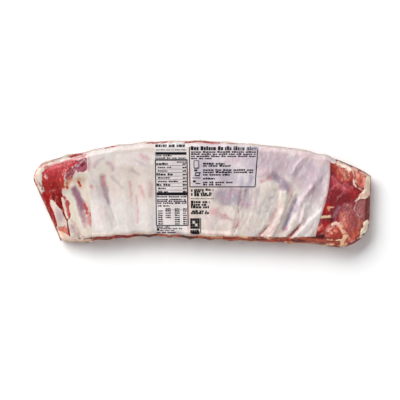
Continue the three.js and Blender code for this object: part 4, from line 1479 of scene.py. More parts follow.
@dataclass
class RackMeat:
    """The rack itself: the bone side with its muscles, the cut rims with the rib ends, and the meat side."""

    form: RackForm
    columns: int = 364
    rows: int = 113
    layers: int = 9
    under_film: float = 0.35
    lean_sinks: float = 0.5
    fibre_stretch: float = 2.6
    rib_end: Point = (7.5, 5.5)
    rib_end_height: float = 13
    rim_widths: tuple[float, ...] = (5.5, 3.0, 2.0, 2.0)
    rim_soft: float = 2.0
    # How much painted shade darkens the far rim's colours
    rim_dulling: float = 0.42
    grain_height: float = 0.12
    lump_height: float = 0.16
    under_lump_height: float = 0.3
    over_floor: float = 0.3

    def build(self) -> Piece:
        """Models and paints the rack.

        Returns:
            The finished piece.
        """
        laid = lay_slab("rack_meat", self.form, self.columns, self.rows, self.layers)
        normals = laid.normals(self.form.shift())
        palette = MeatPalette(laid.place, 3)
        zones = self.zones(laid, normals)
        self.paint_bone_side(palette, zones)
        self.paint_rims(palette, laid, zones)
        self.paint_meat_side(palette, zones["under"])
        self.paint_far_rim_shade(palette, normals)
        flow = self.flow(laid)
        depth = self.relief(palette, zones)
        laid.place += normals * (depth - self.under_film)[:, None]
        laid.place[:, 2] = np.maximum(laid.place[:, 2], self.over_floor)
        laid.commit(self.form.shift())
        mesh = laid.piece.data
        write_attribute(mesh, "lean", palette.lean)
        write_attribute(mesh, "fat", palette.fat)
        write_attribute(mesh, "fat_share", palette.fat_share, "FLOAT")
        write_attribute(mesh, "flow", flow, "FLOAT_VECTOR")
        mesh.materials.append(RawPork().build())
        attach(laid.piece, BODY)
        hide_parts("sealed_rack")
        return laid.piece

    def zones(self, laid: Laid, normals: Array) -> dict[str, Array]:
        """Works out how much of each vertex belongs to each side.

        Args:
            laid: The laid-out mesh.
            normals: Its normals.

        Returns:
            Shares from 0 to 1 by the side's name.
        """
        length, width = self.form.span()
        under = np.where(laid.layer == 0, rise(-normals[:, 2], 0.3, 0.8), 0.0)
        gaps = (laid.v * width, (1 - laid.v) * width, laid.u * length, (1 - laid.u) * length)
        zones = {}
        for side, reach, gap in zip(SIDES, self.rim_widths, gaps):
            zones[side] = (1 - under) * ramp((reach - gap) / self.rim_soft + 0.5)
        edge = np.maximum.reduce(list(zones.values()))
        zones["under"] = under
        zones["bone"] = (1 - under) * (1 - edge)
        return zones

    def paint_bone_side(self, palette: MeatPalette, zones: dict[str, Array]) -> None:
        """Paints the membrane, the muscles and the fat of the bone side, with painted highlights of the film,
        painted light on the flap's right end and painted shadow in a groove under the panel.

        Args:
            palette: The meat's colours.
            zones: How much of each vertex belongs to each side.
        """
        side = 1 - zones["under"]
        palette.blotch(T.PEARL, (16, 34, 16), (0.0, 0.7), 0.6, side)
        palette.blotch(T.FAT, (9, 26, 9), (0.1, 0.8), 0.6, side)
        palette.blotch(T.PINK, (5, 24, 9), (0.42, 0.9), 0.3, side)
        palette.lay(UNDER_PANEL + NARROW_END + FLAP_END + FAR_RIM, side)
        ends = side * rise(np.abs(palette.place[:, 0] + 2), 150, 170)
        palette.blotch(T.WINE, (2.6, 5, 2.6), (0.3, 0.9), 0.3, ends * (1 - palette.fat_share))
        # Pale salmon flecks on the lean: paler flesh, with painted glints of the film
        palette.blotch(T.SALMON_PALE, (2.2, 6, 2.2), (0.42, 0.95), 0.3, ends * (1 - palette.fat_share))

    def paint_rims(self, palette: MeatPalette, laid: Laid, zones: dict[str, Array]) -> None:
        """Paints the cut rims, with a rib end at each bone on both long edges.

        Args:
            palette: The meat's colours.
            laid: The laid-out mesh.
            zones: How much of each vertex belongs to each side.
        """
        x, y, z = laid.place.T
        for side in SIDES:
            rim = zones[side] * (1.0 if side == "near" else rise(z, 19, 14))
            palette.blend(T.RED_BROWN, rim * 0.85)
            palette.blotch(T.BRICK_DARK, (9, 9, 4), (-0.3, 0.4), 0.85, rim)
            palette.blotch(T.WARM_FAT, (11, 11, 3.4), (0.2, 0.5), 0.8, rim)
            palette.blotch(T.UMBER, (7, 7, 3), (0.2, 0.7), 0.8, rim)
        for edge in Edge:
            rim = zones[edge.value]
            for number in range(self.form.rib_count):
                centre = self.rib_end_x(number, edge)
                away = np.hypot((x - centre) / self.rib_end[0], (z - self.rib_end_height) / self.rib_end[1])
                frayed = away + 0.08 * palette.ragged
                palette.blend(T.FAT, rim * ramp((1.25 - frayed) * 6))
                palette.blend(T.BONE, rim * ramp((1.0 - frayed) * 8))
                palette.blend(T.MARROW, rim * ramp((0.66 - frayed) * 6) * 0.85)
        upper = (1 - zones["under"]) * rise(z, 14, 18)
        palette.lay(NEAR_RIM[:4], upper)
        cut = upper * NEAR_RIM[1].mask(palette.x, palette.y, palette.ragged) * (1 - palette.fat_share)
        palette.blotch(T.RUST_ORANGE, (7, 4, 4), (-0.35, 0.25), 0.9, cut)
        palette.blotch(T.TAN_FAT, (6, 3, 3), (0.15, 0.5), 0.8, cut)
        palette.blotch(T.UMBER, (5, 2.6, 3), (0.1, 0.45), 0.9, cut)
        palette.lay(NEAR_RIM[4:], upper)

    def paint_far_rim_shade(self, palette: MeatPalette, normals: Array) -> None:
        """Paints shade on the far rim, which faces the key light: its flesh and fat are darker where the
        surface faces +Y.
        """
        kept = (1 - self.rim_dulling * rise(normals[:, 1], 0.25, 0.75))[:, None]
        palette.lean, palette.fat = palette.lean * kept, palette.fat * kept

    def rib_end_x(self, number: int, edge: Edge) -> float:
        """Where a rib comes out of a long edge, along X.

        Args:
            number: The rib, counted from the narrow end.
            edge: The edge.

        Returns:
            Its x in mm.
        """
        x = self.form.first_rib_x + number * self.form.rib_spacing
        points = self.form.near_edge if edge is Edge.NEAR else self.form.far_edge
        for _ in range(3):
            y = float(self.form.curve(points, np.array([x]))[0])
            lean = self.form.rib_lean[0] + self.form.rib_lean[1] * x
            x = self.form.first_rib_x + number * self.form.rib_spacing + lean * y
        return x

    def paint_meat_side(self, palette: MeatPalette, under: Array) -> None:
        """Paints the meat side, which the photograph doesn't show: lean in bands between seams of fat.

        Args:
            palette: The meat's colours.
            under: How much of each vertex belongs to this side.
        """
        palette.blend(T.BRICK, under)
        palette.blotch(T.ROSE, (26, 60, 20), (-0.4, 0.5), 0.6, under)
        palette.blotch(T.MAROON, (18, 40, 18), (0.0, 0.7), 0.7, under)
        x, y, _ = palette.place.T
        band = np.abs(self.form.rib_number(x, y * 1.4) + 0.22 * palette.ragged - 0.5)
        seam = ramp((0.13 - np.abs(band - np.round(band))) * 9)
        palette.blend(T.FAT, under * seam * 0.75)
        palette.blotch(T.FAT, (22, 30, 20), (0.3, 0.62), 0.9, under)
        palette.blotch(T.WARM_FAT, (6, 14, 6), (0.45, 0.8), 0.6, under)

    def flow(self, laid: Laid) -> Array:
        """Coordinates in mm along which the muscle's fibres are drawn long, beside the ribs."""
        across = self.form.rib_number(laid.x, laid.y) * self.form.rib_spacing
        return np.column_stack((across, laid.y / self.fibre_stretch, laid.place[:, 2]))

    def relief(self, palette: MeatPalette, zones: dict[str, Array]) -> Array:
        """Fine height along the normals: lean lies under fat, and the cut rims are the roughest.

        Args:
            palette: The painted tissues.
            zones: How much of each vertex belongs to each side.

        Returns:
            Heights in mm.
        """
        lean = 1 - palette.fat_share
        noise = Noise(17)
        lumps = noise.fractal(palette.place, 6.0, 3)
        grain = noise.fractal(palette.place, (3.0, 9.0, 3.0), 2)
        rims = np.maximum.reduce([zones[side] for side in SIDES])
        height = -self.lean_sinks * lean * (1 - rims) + self.grain_height * grain * (0.4 + lean)
        rough = self.lump_height + self.under_lump_height * zones["under"]
        return height + self.under_film * 0.6 * rims + rough * np.minimum(lumps, 0.25)


def lay_slab(name: str, form: RackForm, columns: int, rows: int, layers: int) -> Laid:
    """Models a closed slab and lays it on the rack's form.

    Args:
        name: The piece's name.
        form: The rack's form.
        columns: Faces along the rack.
        rows: Faces across it.
        layers: Rings up the rim.

    Returns:
        The laid-out mesh.
    """
    piece = unit_slab(name, columns, rows, layers)
    u, v, layer = read_points(piece.data).T
    layer = np.round(layer)
    # The two ends show more than the middle under the ink, so the columns stand closer there
    u = np.interp(u, *form.crowding)
    return Laid(piece, u, v, layer, form.slab(u, v, layer, layers))


@dataclass
class BagFilm:
    """The clear bag drawn tight round the rack, a hair above the meat."""

    form: RackForm
    columns: int = 300
    rows: int = 94
    layers: int = 8
    over_meat: float = 0.1
    pucker: float = 0.22
    rim_dulling: float = 0.9
    panel_edge_share: float = 0.012
    over_floor: float = 0.05

    def build(self) -> Piece:
        """Models the film.

        Returns:
            The finished piece.
        """
        laid = lay_slab("bag_film", self.form, self.columns, self.rows, self.layers)
        normals = laid.normals(self.form.shift())
        pucker = Noise(29).fractal(laid.place, (7, 16, 7), 3)
        (from_u, to_u), (from_v, to_v) = self.form.panel_u, self.form.panel_rows(laid.u)
        across = 0.4 * np.minimum(laid.v - from_v, to_v - laid.v)
        inside = np.minimum.reduce([laid.u - from_u, to_u - laid.u, across])
        dulled = self.rim_dulling * rise(normals[:, 2], 0.85, 0.45)
        bare = (1 - ramp(inside / self.panel_edge_share + 0.5)) * (1 - dulled)
        laid.place += normals * (self.over_meat + self.pucker * np.maximum(pucker, -0.2) * bare)[:, None]
        laid.place[:, 2] = np.maximum(laid.place[:, 2], self.over_floor)
        laid.commit(self.form.shift())
        write_attribute(laid.piece.data, "bare", bare, "FLOAT")
        laid.piece.data.materials.append(ShrinkFilm().build())
        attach(laid.piece, BODY)
        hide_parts("sealed_rack")
        pass_light(laid.piece)
        return laid.piece


V = Veil

VEIL = daubs(
    (V.COOL, B.BROAD, ((-142, -29), (-76, -39)), 25.7),
    (V.BRIGHT, B.FAINT, ((-146, -20), (-138, -46)), 5),
    (V.COOL, B.SPREAD, ((-146, 47), (-124, 53)), 6.8),
    (V.LAVENDER, B.BROAD, ((11, 37), (59, 31)), 25.7),
    (V.DEEP_LAVENDER, B.BROAD, ((30, -1), (65, -8)), 8.1, 10.8),
    (V.LAVENDER, B.BROAD, ((81, 45), (132, 45), (162, 29)), 27, 24.3),
    (V.LAVENDER, B.BROAD, ((159, 31), (142, -29)), 21.6, 16.2),
    (V.PINK_LAVENDER, B.SPREAD, ((81, 60), (122, 57), (167, 43)), 4.6),
    (V.PINK_LAVENDER, B.HAZY, ((173, 39), (161, -29)), 3.5),
    (V.DEEP_LAVENDER, B.SPREAD, ((96, 23), (116, 7)), 6.2),
    (V.TALLOW, B.BILLOWY, ((82, 12), (101, 16), (104, 8), (99, -1), (97, -12), (86, -23), (103, -28),
        (95, -51), (59, -58), (51, -31), (78, -17))),
    (V.COOL, B.SPREAD, ((153, -29), (135, -55)), 9.5, 8.1),
    # Painted shadow in the groove near the flap end, on the ink
    (V.DEEP_LAVENDER, B.SOFT, ((128, -7), (111, -47)), 2.6, 3.5),
    (V.DEEP_LAVENDER, B.HAZY, ((-135, 20), (-131, 7), (-126, -12)), 2.6),
    (V.SHADE, B.HAZY, ((96, 23), (107, 15), (114, 6)), 5.5),
    # More painted shadow in that groove
    (V.SHADE, B.SOFT, ((124, -12), (117, -28), (112, -46)), 2.2, 2.8),
    (V.DEEP_LAVENDER, B.SOFT, ((150, 14), (136, -7), (127, -23)), 4.2),
    # Painted shade over the ridge left of the cream tongue
    (V.DEEP_LAVENDER, B.SOFT, ((88, -49), (98, -24)), 4.5),
    (V.PINK_LAVENDER, B.HAZY, ((132, -19), (129, -39)), 3),
    # Painted light in a fold valley
    (V.WARM_EDGE, B.HAZY, ((139, -18), (136, -31)), 2.2),
    (V.BRIGHT, B.BILLOWY, ((32, 45), (51, 36), (59, 20)), 6),
    (V.PINK_LAVENDER, B.BILLOWY, ((108, -18), (92, -51)), 7),
    # Painted light in the same fold valley
    (V.BRIGHT, B.SOFT, ((143, -15), (136, -31)), 1.8),
    # Painted shade on the ridge beside the dark slit, toning down its highlight
    (V.PINK_LAVENDER, B.SOFT, ((133, -45), (120, -59)), 2.8),
    (V.TALLOW, B.SOFT, ((94, -43), (81, -59)), 2.6),
    (V.SEAM, B.FAINT, ((100, -23), (88, -47)), 3.0),
    (V.SHADE, B.GHOST, ((109, -31), (97, -57)), 1.0),
    (V.SHADE, B.GHOST, ((101, -15), (93, -35)), 1.1),
    (V.DEEP_LAVENDER, B.MISTY, ((75, 9), (73, -7), (77, -26)), 2.2),
    (V.DEEP_LAVENDER, B.SOFT, ((92, -7), (86, -24)), 3.0),
    (V.DEEP_LAVENDER, B.SOFT, ((61, 4), (63, -16), (74, -23)), 2.4),
    (V.DEEP_LAVENDER, B.FAINT, ((66, 22), (63, 9)), 2.2),
    (V.SHADE, B.GHOST, ((98, 4), (97, -9)), 0.9),
    (V.BRIGHT, B.FAINT, ((67, -7), (70, -18)), 1.6),
    (V.BRIGHT, B.HAZY, ((-108, 45), (-72, 47)), 9),
    (V.SEAM, B.LIGHT, ((61, 5), (54, -8), (50, -18)), 0.8),
    (V.PINK_LAVENDER, B.SOFT, ((59, -47), (63, -50)), 1.6),
    (V.PINK_LAVENDER, B.SOFT, ((51, -45), (61, -36)), 1.4),
    (V.SEAM, B.FAINT, ((92, -43), (78, -61)), 1.8),
    (V.SEAM, B.GHOST, ((132, -46), (121, -59)), 2.2),
    (V.SEAM, B.LIGHT, CREASE, 0.9),
    # Painted light along the panel's near edge, where it curves down into shade
    (V.WARM_EDGE, B.SOFT, ((-148, -58), (-16, -53), (41, -56)), 3.5),
    (V.WARM_EDGE, B.MISTY, ((41, -58), (132, -61)), 2.2),
)

FILM_FOLDS = (
    Fold(CREASE, -0.3, 1.2),
    Fold(((112, 0), (110, -23), (102, -41), (95, -56)), 0.5, 4.0),
    Fold(((147, 7), (138, -4), (128, -16)), 0.4, 1.7),
    Fold(((128, -16), (122, -28), (120, -42)), 0.45, 1.8),
    Fold(((138, -14), (136, -30), (131, -42), (119, -58)), 0.6, 1.8),
    Fold(((159, -26), (146, -37), (134, -49), (124, -58)), 0.35, 1.8),
    Fold(((150, -44), (128, -60)), 0.4, 2.4),
    Fold(((133, -42), (118, -59)), -1.2, 1.8),
    Fold(((92, -42), (74, -62)), -0.5, 1.6),
    Fold(((100, -22), (92, -40)), -0.35, 1.2),
    Fold(((98, -44), (82, -62)), 0.25, 2.0),
    Fold(((135, 46), (128, 38), (122, 26)), 0.5, 1.6),
    Fold(((128, 32), (119, 20)), -0.3, 1.4),
    Fold(((158, 26), (150, 12), (146, -8)), 0.45, 1.6),
    Fold(((120, -2), (111, -26)), 0.5, 1.8),
    Fold(((72, -4), (66, -30), (52, -58)), 0.5, 2.6),
    Fold(((64, 2), (60, -20), (50, -44)), -0.4, 2.2),
    Fold(((84, -24), (70, -52)), 0.5, 2.4),
    Fold(((-124, -14), (-114, -46)), -0.4, 1.6),
    Fold(((-128, -16), (-122, -48)), 0.3, 2.0),
)


@dataclass
class PrintPanel:
    """The frosted print panel of the bag, shrunk over the bone side with its creases."""

    form: RackForm
    columns: int = 340
    rows: int = 126
    over_film: float = 0.45
    thickness: float = 0.12
    usual_cover: float = 0.64
    least_cover: float = 0.2
    pressed_clear: float = 0.6
    crease_room: float = 0.3
    wrinkle_height: float = 0.22
    wrinkled_x: Point = (-160, 100)
    crumple_height: float = 0.3
    crumpled_x: Point = (30, 90)
    fold_strength: Point = (0.75, 0.7)
    wrinkle_lean: float = 24

    def surface(self, x: Array, y: Array, u: Array, v: Array) -> Array:
        """The height of the panel's face.

        Args:
            x: Places along the rack.
            y: Places across it.
            u: Their shares along the rack.
            v: Their shares across it.

        Returns:
            Heights in mm.
        """
        # The wrinkles lean as the ribs do at the flap end
        angle = math.radians(self.wrinkle_lean)
        cos, sin = math.cos(angle), math.sin(angle)
        leaning = np.column_stack((cos * x - sin * y, sin * x + cos * y, np.zeros(x.shape)))
        wrinkles = Noise(41).fractal(leaning, (3.5, 22, 10), 3)
        crumples = Noise(43).fractal(leaning, (3.2, 7, 10), 4)
        height = self.form.top(u, v) + self.over_film + self.crease_room
        height = height + self.wrinkle_height * wrinkles * rise(x, *self.wrinkled_x)
        height = height + self.crumple_height * crumples * rise(x, *self.crumpled_x)
        usual, change = self.fold_strength
        return height + (usual + change * crumples) * sum(fold.height(x, y) for fold in FILM_FOLDS)

    def build(self) -> Piece:
        """Models and paints the panel.

        Returns:
            The finished piece.
        """
        piece = unit_sheet("print_panel_film", self.columns, self.rows)
        from_u, to_u = self.form.panel_u
        share_u, share_v, _ = read_points(piece.data).T
        u = from_u + (to_u - from_u) * share_u
        from_v, to_v = self.form.panel_rows(u)
        v = from_v + (to_v - from_v) * share_v
        x, y = self.form.plan(u, v)
        place = np.column_stack((x, y, self.surface(x, y, u, v)))
        palette = InkPalette(place, V.CREAM, 7)
        self.paint_ink(palette)
        Laid(piece, u, v, u * 0, place).commit(self.form.shift())
        write_attribute(piece.data, "veil", palette.colour)
        write_attribute(piece.data, "cover", self.cover(palette), "FLOAT")
        pick(piece)
        bpy.ops.object.shade_smooth()
        piece.data.materials.append(FrostedInk().build())
        piece.data.materials.append(clear_back())
        apply_modifier(piece, "SOLIDIFY", thickness=self.thickness * MM, offset=-1, material_offset=1)
        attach(piece, BODY)
        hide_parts("print_panel")
        pass_light(piece)
        return piece

    def cover(self, palette: Palette) -> Array:
        """How solid the white ink is: less where it is pressed on wet flesh, more in the fields.

        Args:
            palette: The ink's colours.

        Returns:
            The cover of each vertex, from 0 to 1.
        """
        x, y, _ = palette.place.T
        cover = np.full(x.shape, self.usual_cover)
        for stroke in UNDER_PANEL:
            if stroke.colour.kind is not Kind.FAT:
                pressed = self.pressed_clear * stroke.mask(x, y, palette.ragged)
                cover -= pressed * (cover - self.least_cover)
        for stroke, level in COVER:
            cover += (level - cover) * stroke.mask(x, y, palette.ragged)
        for field_box in FIELDS:
            cover += (field_box.cover - cover) * field_box.mask(x, y)
        return cover

    @staticmethod
    def paint_ink(palette: Palette) -> None:
        """Paints the veil, marbled as the flesh under it, with painted shade in its creases and on two
        ridges, painted light on its near edge and in a fold valley, and the white fields on it.

        Args:
            palette: The ink's colours.
        """
        palette.lay(VEIL)
        x, y, _ = palette.place.T
        flap_half = 0.45 + 0.55 * rise(x, -20, 40)
        palette.blotch(V.DEEP_LAVENDER, (6, 11, 9), (0.05, 0.75), 0.34, flap_half)
        palette.blotch(V.PINK_LAVENDER, (4, 9, 8), (0.1, 0.6), 0.5, flap_half)
        palette.blotch(V.BRIGHT, (3.4, 10, 8), (0.1, 0.6), 0.4, flap_half)
        for field_box in FIELDS:
            palette.blend(field_box.colour, field_box.mask(x, y) * field_box.strength)


# Where the ink covers less or more than it usually does, each with its cover
COVER = (
    (Stroke(V.CREAM, B.FRAYED, ((-149, -61), (-118, -59), (-70, -57), (-16, -59), (38, -60), (119, -60),
        (156, -60)), 0.8), 0.1),
    (Stroke(V.CREAM, B.BROAD, ((90, 40), (150, 34), (150, -10)), 30), 0.68),
    (Stroke(V.CREAM, B.CRISP, ((134, -42), (116, -60)), 1, 2.4), 0.12),
    (Stroke(V.CREAM, B.CRISP, ((92, -43), (73, -62)), 0.8, 1.8), 0.35),
    (Stroke(V.CREAM, B.FRAYED, ((129, -4), (112, -44)), 2, 3), 0.5),
    (Stroke(V.CREAM, B.CRISP, ((111, 2), (107, -22), (96, -45), (82, -60)), 4, 3), 0.5),
)


@dataclass(frozen=True)
class Field:
    """A white-backed field of the print, its corners in mm."""

    low: Point
    high: Point
    colour: Veil
    strength: float
    cover: float
    soft: float = 1.4

    def mask(self, x: Array, y: Array) -> Array:
        """How much of each point lies in the field."""
        inside = np.minimum.reduce([x - self.low[0], self.high[0] - x, y - self.low[1], self.high[1] - y])
        return ramp(inside / self.soft + 0.5)


FIELDS = (
    Field((-64.5, -57), (-19.5, 69), V.FIELD, 0.75, 0.7),
    Field((-17, 7), (74, 66), V.BOX, 0.5, 0.62),
)


def clear_back() -> Material:
    """The film's inner face behind the ink, which adds nothing to what shows."""
    maker = MaterialMaker("clear_film_back")
    return maker.finish(maker.node("ShaderNodeBsdfTransparent", {}))


@dataclass(frozen=True)
class Mark:
    """One inked rectangle, its middle and size in mm."""

    x: float
    y: float
    width: float
    height: float


@dataclass
class Typesetter:
    """Sets rows of plain blocks in place of lettering, by a seeded draw."""

    seed: int
    marks: list[Mark] = field(default_factory=list)
    block: Point = (1.0, 2.2)
    block_gap: float = 0.25
    word_blocks: tuple[int, int] = (2, 6)
    word_gap: float = 1.1

    def __post_init__(self) -> None:
        """Seeds the draw."""
        self.draw = np.random.default_rng(self.seed)

    def rule(self, x0: float, x1: float, y: float, height: float) -> None:
        """Sets one unbroken rule from x0 to x1."""
        self.marks.append(Mark((x0 + x1) / 2, y, x1 - x0, height))

    def upright(self, x: float, y0: float, y1: float, width: float) -> None:
        """Sets one upright rule from y0 to y1."""
        self.marks.append(Mark(x, (y0 + y1) / 2, width, abs(y1 - y0)))

    def row(self, x0: float, x1: float, y: float, height: float) -> None:
        """Sets a row of words made of blocks, full height or short.

        Args:
            x0: Where the row begins.
            x1: Where it ends.
            y: Its middle.
            height: The height of a full block.
        """
        low, high = self.block
        scale = min(max(height / 1.3, 0.8), 1.9)
        x = x0
        while x < x1 - low:
            for _ in range(self.draw.integers(*self.word_blocks, endpoint=True)):
                width = min(self.draw.uniform(low, high) * scale, x1 - x)
                if width < low / 2:
                    break
                tall = height * self.draw.choice((1.0, 0.8, 0.8))
                self.marks.append(Mark(x + width / 2, y - (height - tall) / 2, width, tall))
                x += width + self.block_gap * scale
            x += self.word_gap * scale


@dataclass
class PrintLayout(Typesetter):
    """The panel's print as plain rules and blocks: a table, a box, loose rows and a square mark.

    Places are in mm, each row by its middle. No row spells anything.
    """

    seed: int = 5
    table: tuple[Point, Point] = ((-63.2, 45), (-20.6, -43.7))
    table_pitch: float = 4.7
    table_lines: int = 9
    small: float = 2.0
    box: tuple[Point, Point] = ((-17.2, 61.8), (75, 8.2))
    line: float = 1.4
    hairline: float = 0.5
    sway: Steps = ((-63, -17, 0, 75), (-0.016, -0.016, 0, 0.07))

    def set_all(self) -> None:
        """Sets the whole print."""
        self.set_table_head()
        self.set_table_lines()
        self.set_table_foot()
        self.set_box()
        self.set_loose_rows()
        self.set_square()

    def set_table_head(self) -> None:
        """Sets the table's title, its thick rules and its first rows."""
        (left, _), (right, _) = self.table
        self.row(left, right - 1, 64, 4.6)
        self.row(left + 1, right - 1, 58, 1.3)
        self.rule(left, right - 0.6, 53.2, 3.7)
        self.row(left, left + 22, 50.2, 1.9)
        self.row(left, right - 2, 47.1, 2.0)
        self.rule(left, right, 44.5, 2.1)
        self.row(right - 14, right - 1, 41.8, self.small)

    def set_table_lines(self) -> None:
        """Sets the ruled lines, each with a name on the left and a number's place on the right."""
        (left, _), (right, _) = self.table
        lengths = (17, 21, 16, 24, 19, 30, 20, 14, 16)
        for number, length in zip(range(self.table_lines), lengths):
            y = 39.2 - number * self.table_pitch
            bold = number % 3 == 0
            self.row(left + 1 + (0 if bold else 2), left + length, y, 3 if bold else 2.1)
            self.row(right - 6.4, right - 1, y, 2.5)
            self.rule(left + 1, right - 1, y - self.table_pitch / 2, self.hairline)

    def set_table_foot(self) -> None:
        """Sets the thick rule, the small print, the four columns, the frame and the rows under it."""
        (left, top), (right, bottom) = self.table
        self.rule(left + 1, right - 0.4, -1.2, 4.2)
        for y in (-5, -9, -11.3, -13.6):
            self.row(left + 1.4, right - 1.6, y, self.small)
        self.row(left + 2, left + 18, -17.4, self.small)
        columns = [(left + x0, left + x1) for x0, x1 in ((2.5, 9), (12.5, 19.5), (25, 31.5))]
        columns.append((left + 36, right - 1.4))
        for number in range(8):
            y = -21.2 - number * 2.9
            for x0, x1 in columns[1 if number == 0 else 0 :]:
                if number < 5 or x0 != columns[1][0]:
                    self.row(x0, x1, y, self.small)
        self.rule(left + 12, right - 1, -22.7, self.hairline)
        for x in (left, right):
            self.upright(x, top, bottom, self.line)
        self.rule(left, right, bottom, self.line)
        self.row(left, left + 20, bottom - 2, self.small)
        self.rule(left + 0.4, left + 4, -49, 3.8)
        for y, length in ((-47.9, 35), (-50.3, 24)):
            self.row(left + 5, left + length, y, 1.8)
        self.row(left, left + 26, -52.9, self.small)

    def set_box(self) -> None:
        """Sets the box beside the table with its heading, its rows and its simple signs."""
        (left, top), (right, bottom) = self.box
        self.rule(left, right, bottom, self.line)
        for x in (left, right):
            self.upright(x, top, bottom, self.line)
        self.row(left + 1.6, right - 0.4, 60.2, 5.6)
        for y, x1 in ((55.2, right - 2), (52.3, right - 1.6), (49.4, right - 2), (46.5, left + 31)):
            self.row(left + 2, x1, y, 2.3)
        signs = left + 6
        for x in (signs, signs + 6.6):
            self.upright(x, 43.4, 33.4, 1.1)
        for x in (signs + 1.6, signs + 7.6):
            self.upright(x, 27, 23.4, 1.2)
        for x0, x1, y, height in (
            (0, 6.6, 43.4, 1), (0, 6.6, 33.4, 1.6), (0, 4.6, 30.4, 2.6), (1.6, 9.4, 27.2, 1.6),
            (1.2, 7.6, 23.4, 1.8), (-2.4, 8.8, 20.2, 1.2), (-1.8, 2.2, 15.6, 2.8), (2, 8.8, 12.8, 1.4),
        ):
            self.rule(signs + x0, signs + x1, y, height)
        for y, x1 in (
            (39.4, 31), (36.6, 39), (31, 71), (28, 71), (24.6, 39), (19.4, 18), (14.4, 46), (11.3, 27),
        ):
            self.row(1.2, x1, y, 2.6)

    def set_loose_rows(self) -> None:
        """Sets the rows under the box."""
        left = -16.4
        self.upright(left + 1.6, 5, 1.6, 2.2)
        self.upright(left + 1.6, 0, -4, 2.2)
        for y, x1 in ((4.4, 16), (2, 2), (-0.6, 14), (-3, 13)):
            self.row(left + 5, x1, y, 3)
        self.row(left, 18, -7.6, 1.1)
        for y, x1 in ((-12, 11), (-15.6, 7), (-19, 10)):
            self.row(left, x1, y, 3.5)
        for y, x0, x1 in ((-24.4, 1.6, 7), (-27.2, 0, 10)):
            self.row(left + x0, x1, y, 2.8)

    def set_square(self) -> None:
        """Sets the dark square mark: a tile of plain blocks over two rules, with an upright beside it."""
        left, top, tile = -17.8, -34, 3.6
        for row in range(4):
            for column in range(4):
                if (row, column) in ((1, 1), (2, 2)):
                    continue
                y = top - (row + 0.5) * tile
                self.rule(left + column * tile, left + (column + 1) * tile - 0.1, y, tile - 0.1)
        self.row(left, left + 13.6, -50.4, 2.4)
        self.rule(left, left + 14, -53.6, 4.2)
        self.upright(left + 15.6, top, -54.4, self.line)


@dataclass
class PrintedMarks:
    """The black print, laid on the frosted panel and following its creases."""

    form: RackForm
    face: float = 2.4
    over_panel: float = 0.12
    thickness: float = 0.04
    start_height: float = 60

    def build(self, panel: Piece, layout: PrintLayout) -> Piece:
        """Models the print.

        Args:
            panel: The panel that carries it.
            layout: What is printed.

        Returns:
            The finished piece.
        """
        deselect_all()
        bpy.ops.mesh.primitive_plane_add(size=1)
        piece = bpy.context.active_object
        piece.name = piece.data.name = "printed_marks"
        bpy.ops.object.mode_set(mode="EDIT")
        bpy.ops.mesh.delete(type="VERT")
        layout.set_all()
        for mark in layout.marks:
            self.add_mark(mark)
        bpy.ops.object.mode_set(mode="OBJECT")
        place = read_points(piece.data)
        place[:, 0] += np.interp(place[:, 0], *layout.sway) * (place[:, 1] - layout.box[0][1])
        place[:, 2] = self.start_height
        write_points(piece.data, (place + self.form.shift()) * MM)
        apply_modifier(
            piece, "SHRINKWRAP", target=panel, wrap_method="PROJECT", use_project_z=True,
            use_negative_direction=True, use_positive_direction=False, offset=self.over_panel * MM,
        )
        if read_points(piece.data)[:, 2].max() > (self.start_height - 1) * MM:
            raise ValueError("a mark reaches past the panel")
        apply_modifier(piece, "SOLIDIFY", thickness=self.thickness * MM, offset=-1)
        piece.data.materials.append(BlackInk().build())
        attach(piece, BODY)
        pass_light(piece)
        return piece

    def add_mark(self, mark: Mark) -> None:
        """Adds one rectangle in edit mode, in faces short enough to bend with the film.

        Args:
            mark: The rectangle.
        """
        columns, rows = (max(1, math.ceil(size / self.face)) for size in (mark.width, mark.height))
        centre = (mark.x, mark.y, 0)
        bpy.ops.mesh.primitive_grid_add(x_subdivisions=columns, y_subdivisions=rows, size=1, location=centre)
        bpy.ops.transform.resize(value=(mark.width, mark.height, 1), center_override=centre)


@dataclass(frozen=True)
class PaleBoard:
    """Matt white laminate board, the plain floor under the pack."""

    colour: str = "FDFDFD"
    grain: float = 3.0
    grain_depth: float = 0.05

    def build(self) -> Material:
        """Builds the material.

        Returns:
            The material.
        """
        maker = MaterialMaker("matt_white_board")
        grain = maker.noise(maker.coords(), per_mm(self.grain), Detail=2)
        surface = {
            "Base Color": (*linear(self.colour), 1), "Roughness": 0.9, "Specular IOR Level": 0.1,
            "Normal": maker.bump(grain, 0.05, self.grain_depth),
        }
        return maker.finish(maker.node("ShaderNodeBsdfPrincipled", surface))


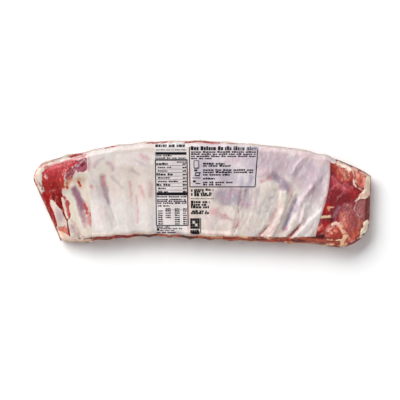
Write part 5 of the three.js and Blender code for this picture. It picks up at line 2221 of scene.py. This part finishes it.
@dataclass
class Studio:
    """The pale floor, the soft lights and the camera that looks straight down.

    The photograph is 400 pixels wide and shows 540 mm of the rack's face, and picture_middle is
    the plan point at its centre. The lights stand in metres and aim at the middle of the rack.
    """

    form: RackForm
    picture_middle: Point = (-2.9, -9.45)
    picture_width: float = 540
    face_height: float = 18
    lens: float = 200
    sensor: float = 36
    floor_size: float = 6.0
    sky: float = 0.31
    key_power: float = 614
    key_size: Point = (7.0, 4.2)
    key_at: Triple = (-3.2, 3.7, 3.3)
    glint_power: float = 2
    glint_size: Point = (0.25, 0.35)
    glint_at: Triple = (-1.0, 1.7, 1.6)
    fill_power: float = 45
    fill_size: Point = (5.0, 1.6)
    fill_at: Triple = (1.6, -3.0, 1.0)

    def build(self) -> None:
        """Sets up floor, lights, sky and camera."""
        self.lay_floor()
        self.add_light("key_softbox", self.key_at, self.key_size, self.key_power)
        self.add_light("glint_softbox", self.glint_at, self.glint_size, self.glint_power)
        self.add_light("fill_softbox", self.fill_at, self.fill_size, self.fill_power)
        self.add_sky()
        self.add_camera()
        scene = bpy.context.scene
        scene.view_settings.view_transform = "Standard"
        scene.view_settings.look = "None"

    def lay_floor(self) -> None:
        """Lays the floor that the pack rests on."""
        deselect_all()
        bpy.ops.mesh.primitive_grid_add(x_subdivisions=8, y_subdivisions=8, size=self.floor_size)
        floor = bpy.context.active_object
        floor.name = floor.data.name = "studio_floor"
        floor.data.materials.append(PaleBoard().build())

    @staticmethod
    def add_light(name: str, at: Triple, size: Point, power: float) -> None:
        """Adds a softbox aimed at the middle of the rack.

        Args:
            name: Its name.
            at: Where it stands, in metres.
            size: Its width and height in metres.
            power: Its power in watts.
        """
        deselect_all()
        bpy.ops.object.light_add(type="AREA", location=at)
        lamp = bpy.context.active_object
        lamp.name = lamp.data.name = name
        lamp.data.shape = "RECTANGLE"
        lamp.data.size, lamp.data.size_y = size
        lamp.data.energy = power
        lamp.rotation_euler = (-Vector(at)).to_track_quat("-Z", "Y").to_euler()

    def add_sky(self) -> None:
        """Adds the even white light of the room."""
        world = bpy.data.worlds.new("white_room")
        world.use_nodes = True
        tree = world.node_tree
        tree.nodes.clear()
        light = add(tree, "ShaderNodeBackground", {"Color": (1, 1, 1, 1), "Strength": self.sky}).outputs[0]
        add(tree, "ShaderNodeOutputWorld", {"Surface": light})
        bpy.context.scene.world = world

    def add_camera(self) -> None:
        """Adds the camera, which looks straight down on the bone side."""
        shift = self.form.shift()
        x, y = (self.picture_middle[i] + shift[i] for i in range(2))
        distance = self.picture_width * self.lens / self.sensor
        deselect_all()
        at = (x * MM, y * MM, (distance + self.face_height) * MM)
        bpy.ops.object.camera_add(location=at, rotation=(0, 0, 0))
        camera = bpy.context.active_object
        camera.name = camera.data.name = "photo_camera"
        camera.data.lens = self.lens
        camera.data.sensor_width = self.sensor
        camera.data.clip_end = 20
        bpy.context.scene.camera = camera


def main() -> None:
    """Builds the dressed rack and the studio, and logs each piece's number of faces."""
    logging.basicConfig(level=logging.INFO, format="%(name)s: %(message)s")
    form = RackForm()
    meat = RackMeat(form).build()
    film = BagFilm(form).build()
    panel = PrintPanel(form).build()
    marks = PrintedMarks(form).build(panel, PrintLayout())
    for piece in (meat, film, panel, marks):
        LOG.info("%s has %d faces", piece.name, len(piece.data.polygons))
    Studio(form).build()
    deselect_all()


if __name__ == "__main__":
    main()
